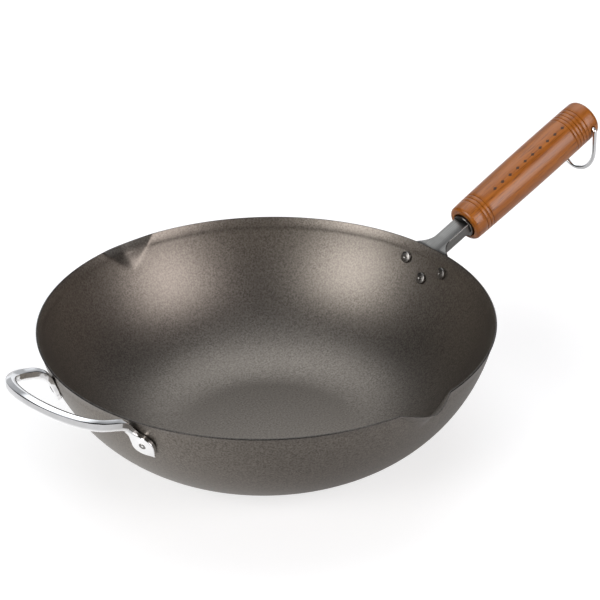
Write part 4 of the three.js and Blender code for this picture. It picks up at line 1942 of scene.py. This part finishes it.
@dataclass(frozen=True)
class Studio:
    """Camera, pale floor, and surroundings that are white to look at and light the pan like a studio."""

    camera_place: tuple[float, float, float] = (-0.83663, -0.98906, 0.79678)
    camera_azimuth: float = -131.2
    camera_elevation: float = 28.35
    camera_roll: float = -0.83
    lens: float = 135.97
    sensor: float = 36.0
    floor_size: float = 1.9
    far_azimuth: float = 47.0
    horizon_band: Pair = (0.0, 0.06)
    collar_band: Pair = (0.24, 0.40)
    ceiling_band: Pair = (0.90, 0.96)
    wall_tones: Tones = (
        (0.00, (0.50, 0.46, 0.42)),
        (0.05, (0.50, 0.46, 0.42)),
        (0.12, (0.55, 0.53, 0.50)),
        (0.26, (0.55, 0.53, 0.50)),
        (0.36, (0.16, 0.16, 0.16)),
        (0.78, (0.05, 0.05, 0.05)),
        (0.92, (0.48, 0.49, 0.51)),
    )
    collar_tones: Tones = (
        (0.74, (0.015, 0.015, 0.015)),
        (0.92, (0.42, 0.43, 0.45)),
    )
    horizon_tones: Tones = (
        (0.84, (0.02, 0.02, 0.02)),
        (0.96, (0.95, 0.97, 1.0)),
    )
    ceiling: Colour = (0.64, 0.66, 0.70)
    softboxes: tuple[Softbox, ...] = (
        Softbox(-74, 22, 0.272, 0.37, 5.6, (1.0, 0.95, 0.96)),
        Softbox(-179, 22, 0.272, 0.40, 6.2, (1.0, 0.985, 0.99)),
        Softbox(44, 40, 0.34, 0.28, 1.18, (0.93, 0.96, 1.0)),
        Softbox(54, 65, 0.46, 0.34, 2.10, (0.93, 0.96, 1.0)),
    )

    def build_camera(self) -> None:
        """Makes the camera at the photograph's viewpoint."""
        data = bpy.data.cameras.new("photo_camera")
        data.sensor_width = self.sensor
        data.lens = self.lens
        camera = added("photo_camera", data)
        back, level, upright = looking(self.camera_azimuth, self.camera_elevation)
        roll = math.radians(self.camera_roll)
        right = level * math.cos(roll) + upright * math.sin(roll)
        up = upright * math.cos(roll) - level * math.sin(roll)
        axes = Matrix((right, up, back)).transposed()
        camera.matrix_world = Matrix.Translation(self.camera_place) @ axes.to_4x4()
        bpy.context.scene.camera = camera

    def build_world(self) -> None:
        """Makes white surroundings to look at, and a studio's tones to light the pan and to mirror in it."""
        world = bpy.data.worlds.new("studio")
        bpy.context.scene.world = world
        world.use_nodes = True
        nodes = Nodes(world.node_tree)
        nodes.tree.nodes.clear()
        direction = nodes.node("ShaderNodeTexCoord").outputs["Generated"]
        level = nodes.node("ShaderNodeVectorMath", {0: direction, 1: (1, 1, 0)}, operation="MULTIPLY")
        heading = nodes.node("ShaderNodeVectorMath", {0: level.outputs[0]}, operation="NORMALIZE")
        turn = math.radians(self.far_azimuth)
        facing = nodes.measure("DOT_PRODUCT", heading.outputs[0], (math.cos(turn), math.sin(turn), 0))
        far = nodes.spread(facing, -1, 1)
        height = nodes.node("ShaderNodeSeparateXYZ", {0: direction}).outputs["Z"]
        walls = nodes.ramp(far, self.wall_tones)
        collar = nodes.ramp(far, self.collar_tones)
        horizon = nodes.ramp(far, self.horizon_tones)
        tone = nodes.blend(nodes.spread(height, *self.horizon_band), horizon, walls)
        tone = nodes.blend(nodes.spread(height, *self.collar_band), tone, collar)
        tone = nodes.blend(nodes.spread(height, *self.ceiling_band), tone, self.ceiling)
        for softbox in self.softboxes:
            tone = nodes.blend(softbox.share(nodes, direction), tone, softbox.light())
        seen = nodes.node("ShaderNodeLightPath").outputs["Is Camera Ray"]
        shown = nodes.blend(seen, tone, (1, 1, 1))
        background = nodes.node("ShaderNodeBackground", {"Color": shown})
        nodes.node("ShaderNodeOutputWorld", {"Surface": background.outputs[0]})

    def build_floor(self, finish: Material) -> None:
        """Makes the floor that the pan stands on.

        Args:
            finish: the floor's material.
        """
        mesh = bmesh.new()
        bmesh.ops.create_grid(mesh, x_segments=1, y_segments=1, size=self.floor_size / 2)
        data = mesh_data("floor", mesh)
        data.materials.append(finish)
        floor = added("floor", data)

    def build(self) -> None:
        """Makes the whole studio."""
        self.build_camera()
        self.build_world()
        self.build_floor(PaleFloor().build())
        bpy.context.scene.view_settings.view_transform = "Standard"


def main() -> None:
    """Builds the studio and every piece of the pan, in order."""
    logging.basicConfig(level=logging.INFO, format="%(name)s: %(message)s")
    Studio().build()
    looks = {
        Slot.TITANIUM: BlastedTitanium(),
        Slot.PRESSED_STEEL: DrawnSteel("pressed_steel", dark=(0.13, 0.127, 0.12), light=(0.21, 0.205, 0.195)),
        Slot.RIVET_STEEL: DrawnSteel("rivet_steel", dark=(0.13, 0.125, 0.118), light=(0.25, 0.24, 0.225),
                                     roughness=(0.24, 0.34)),
        Slot.TURNED_WOOD: SatinWood(),
        Slot.PLATED_STEEL: DrawnSteel("plated_steel", dark=(0.48, 0.48, 0.47), light=(0.62, 0.62, 0.61)),
        Slot.CHROME: PolishedChrome(),
    }
    finishes = {slot: look.build() for slot, look in looks.items()}
    bowl = Bowl()
    # Dark finish of sheared edges: partly bare cut metal, partly painted shade.
    cut_edge_and_shade = CutEdgeAndShade().build()
    bowl.build(finishes[Slot.TITANIUM], cut_edge_and_shade)
    LongHandle(bowl).build(finishes, cut_edge_and_shade)
    HelperHandle(bowl).build(finishes[Slot.CHROME], finishes[Slot.RIVET_STEEL])


if __name__ == "__main__":
    main()
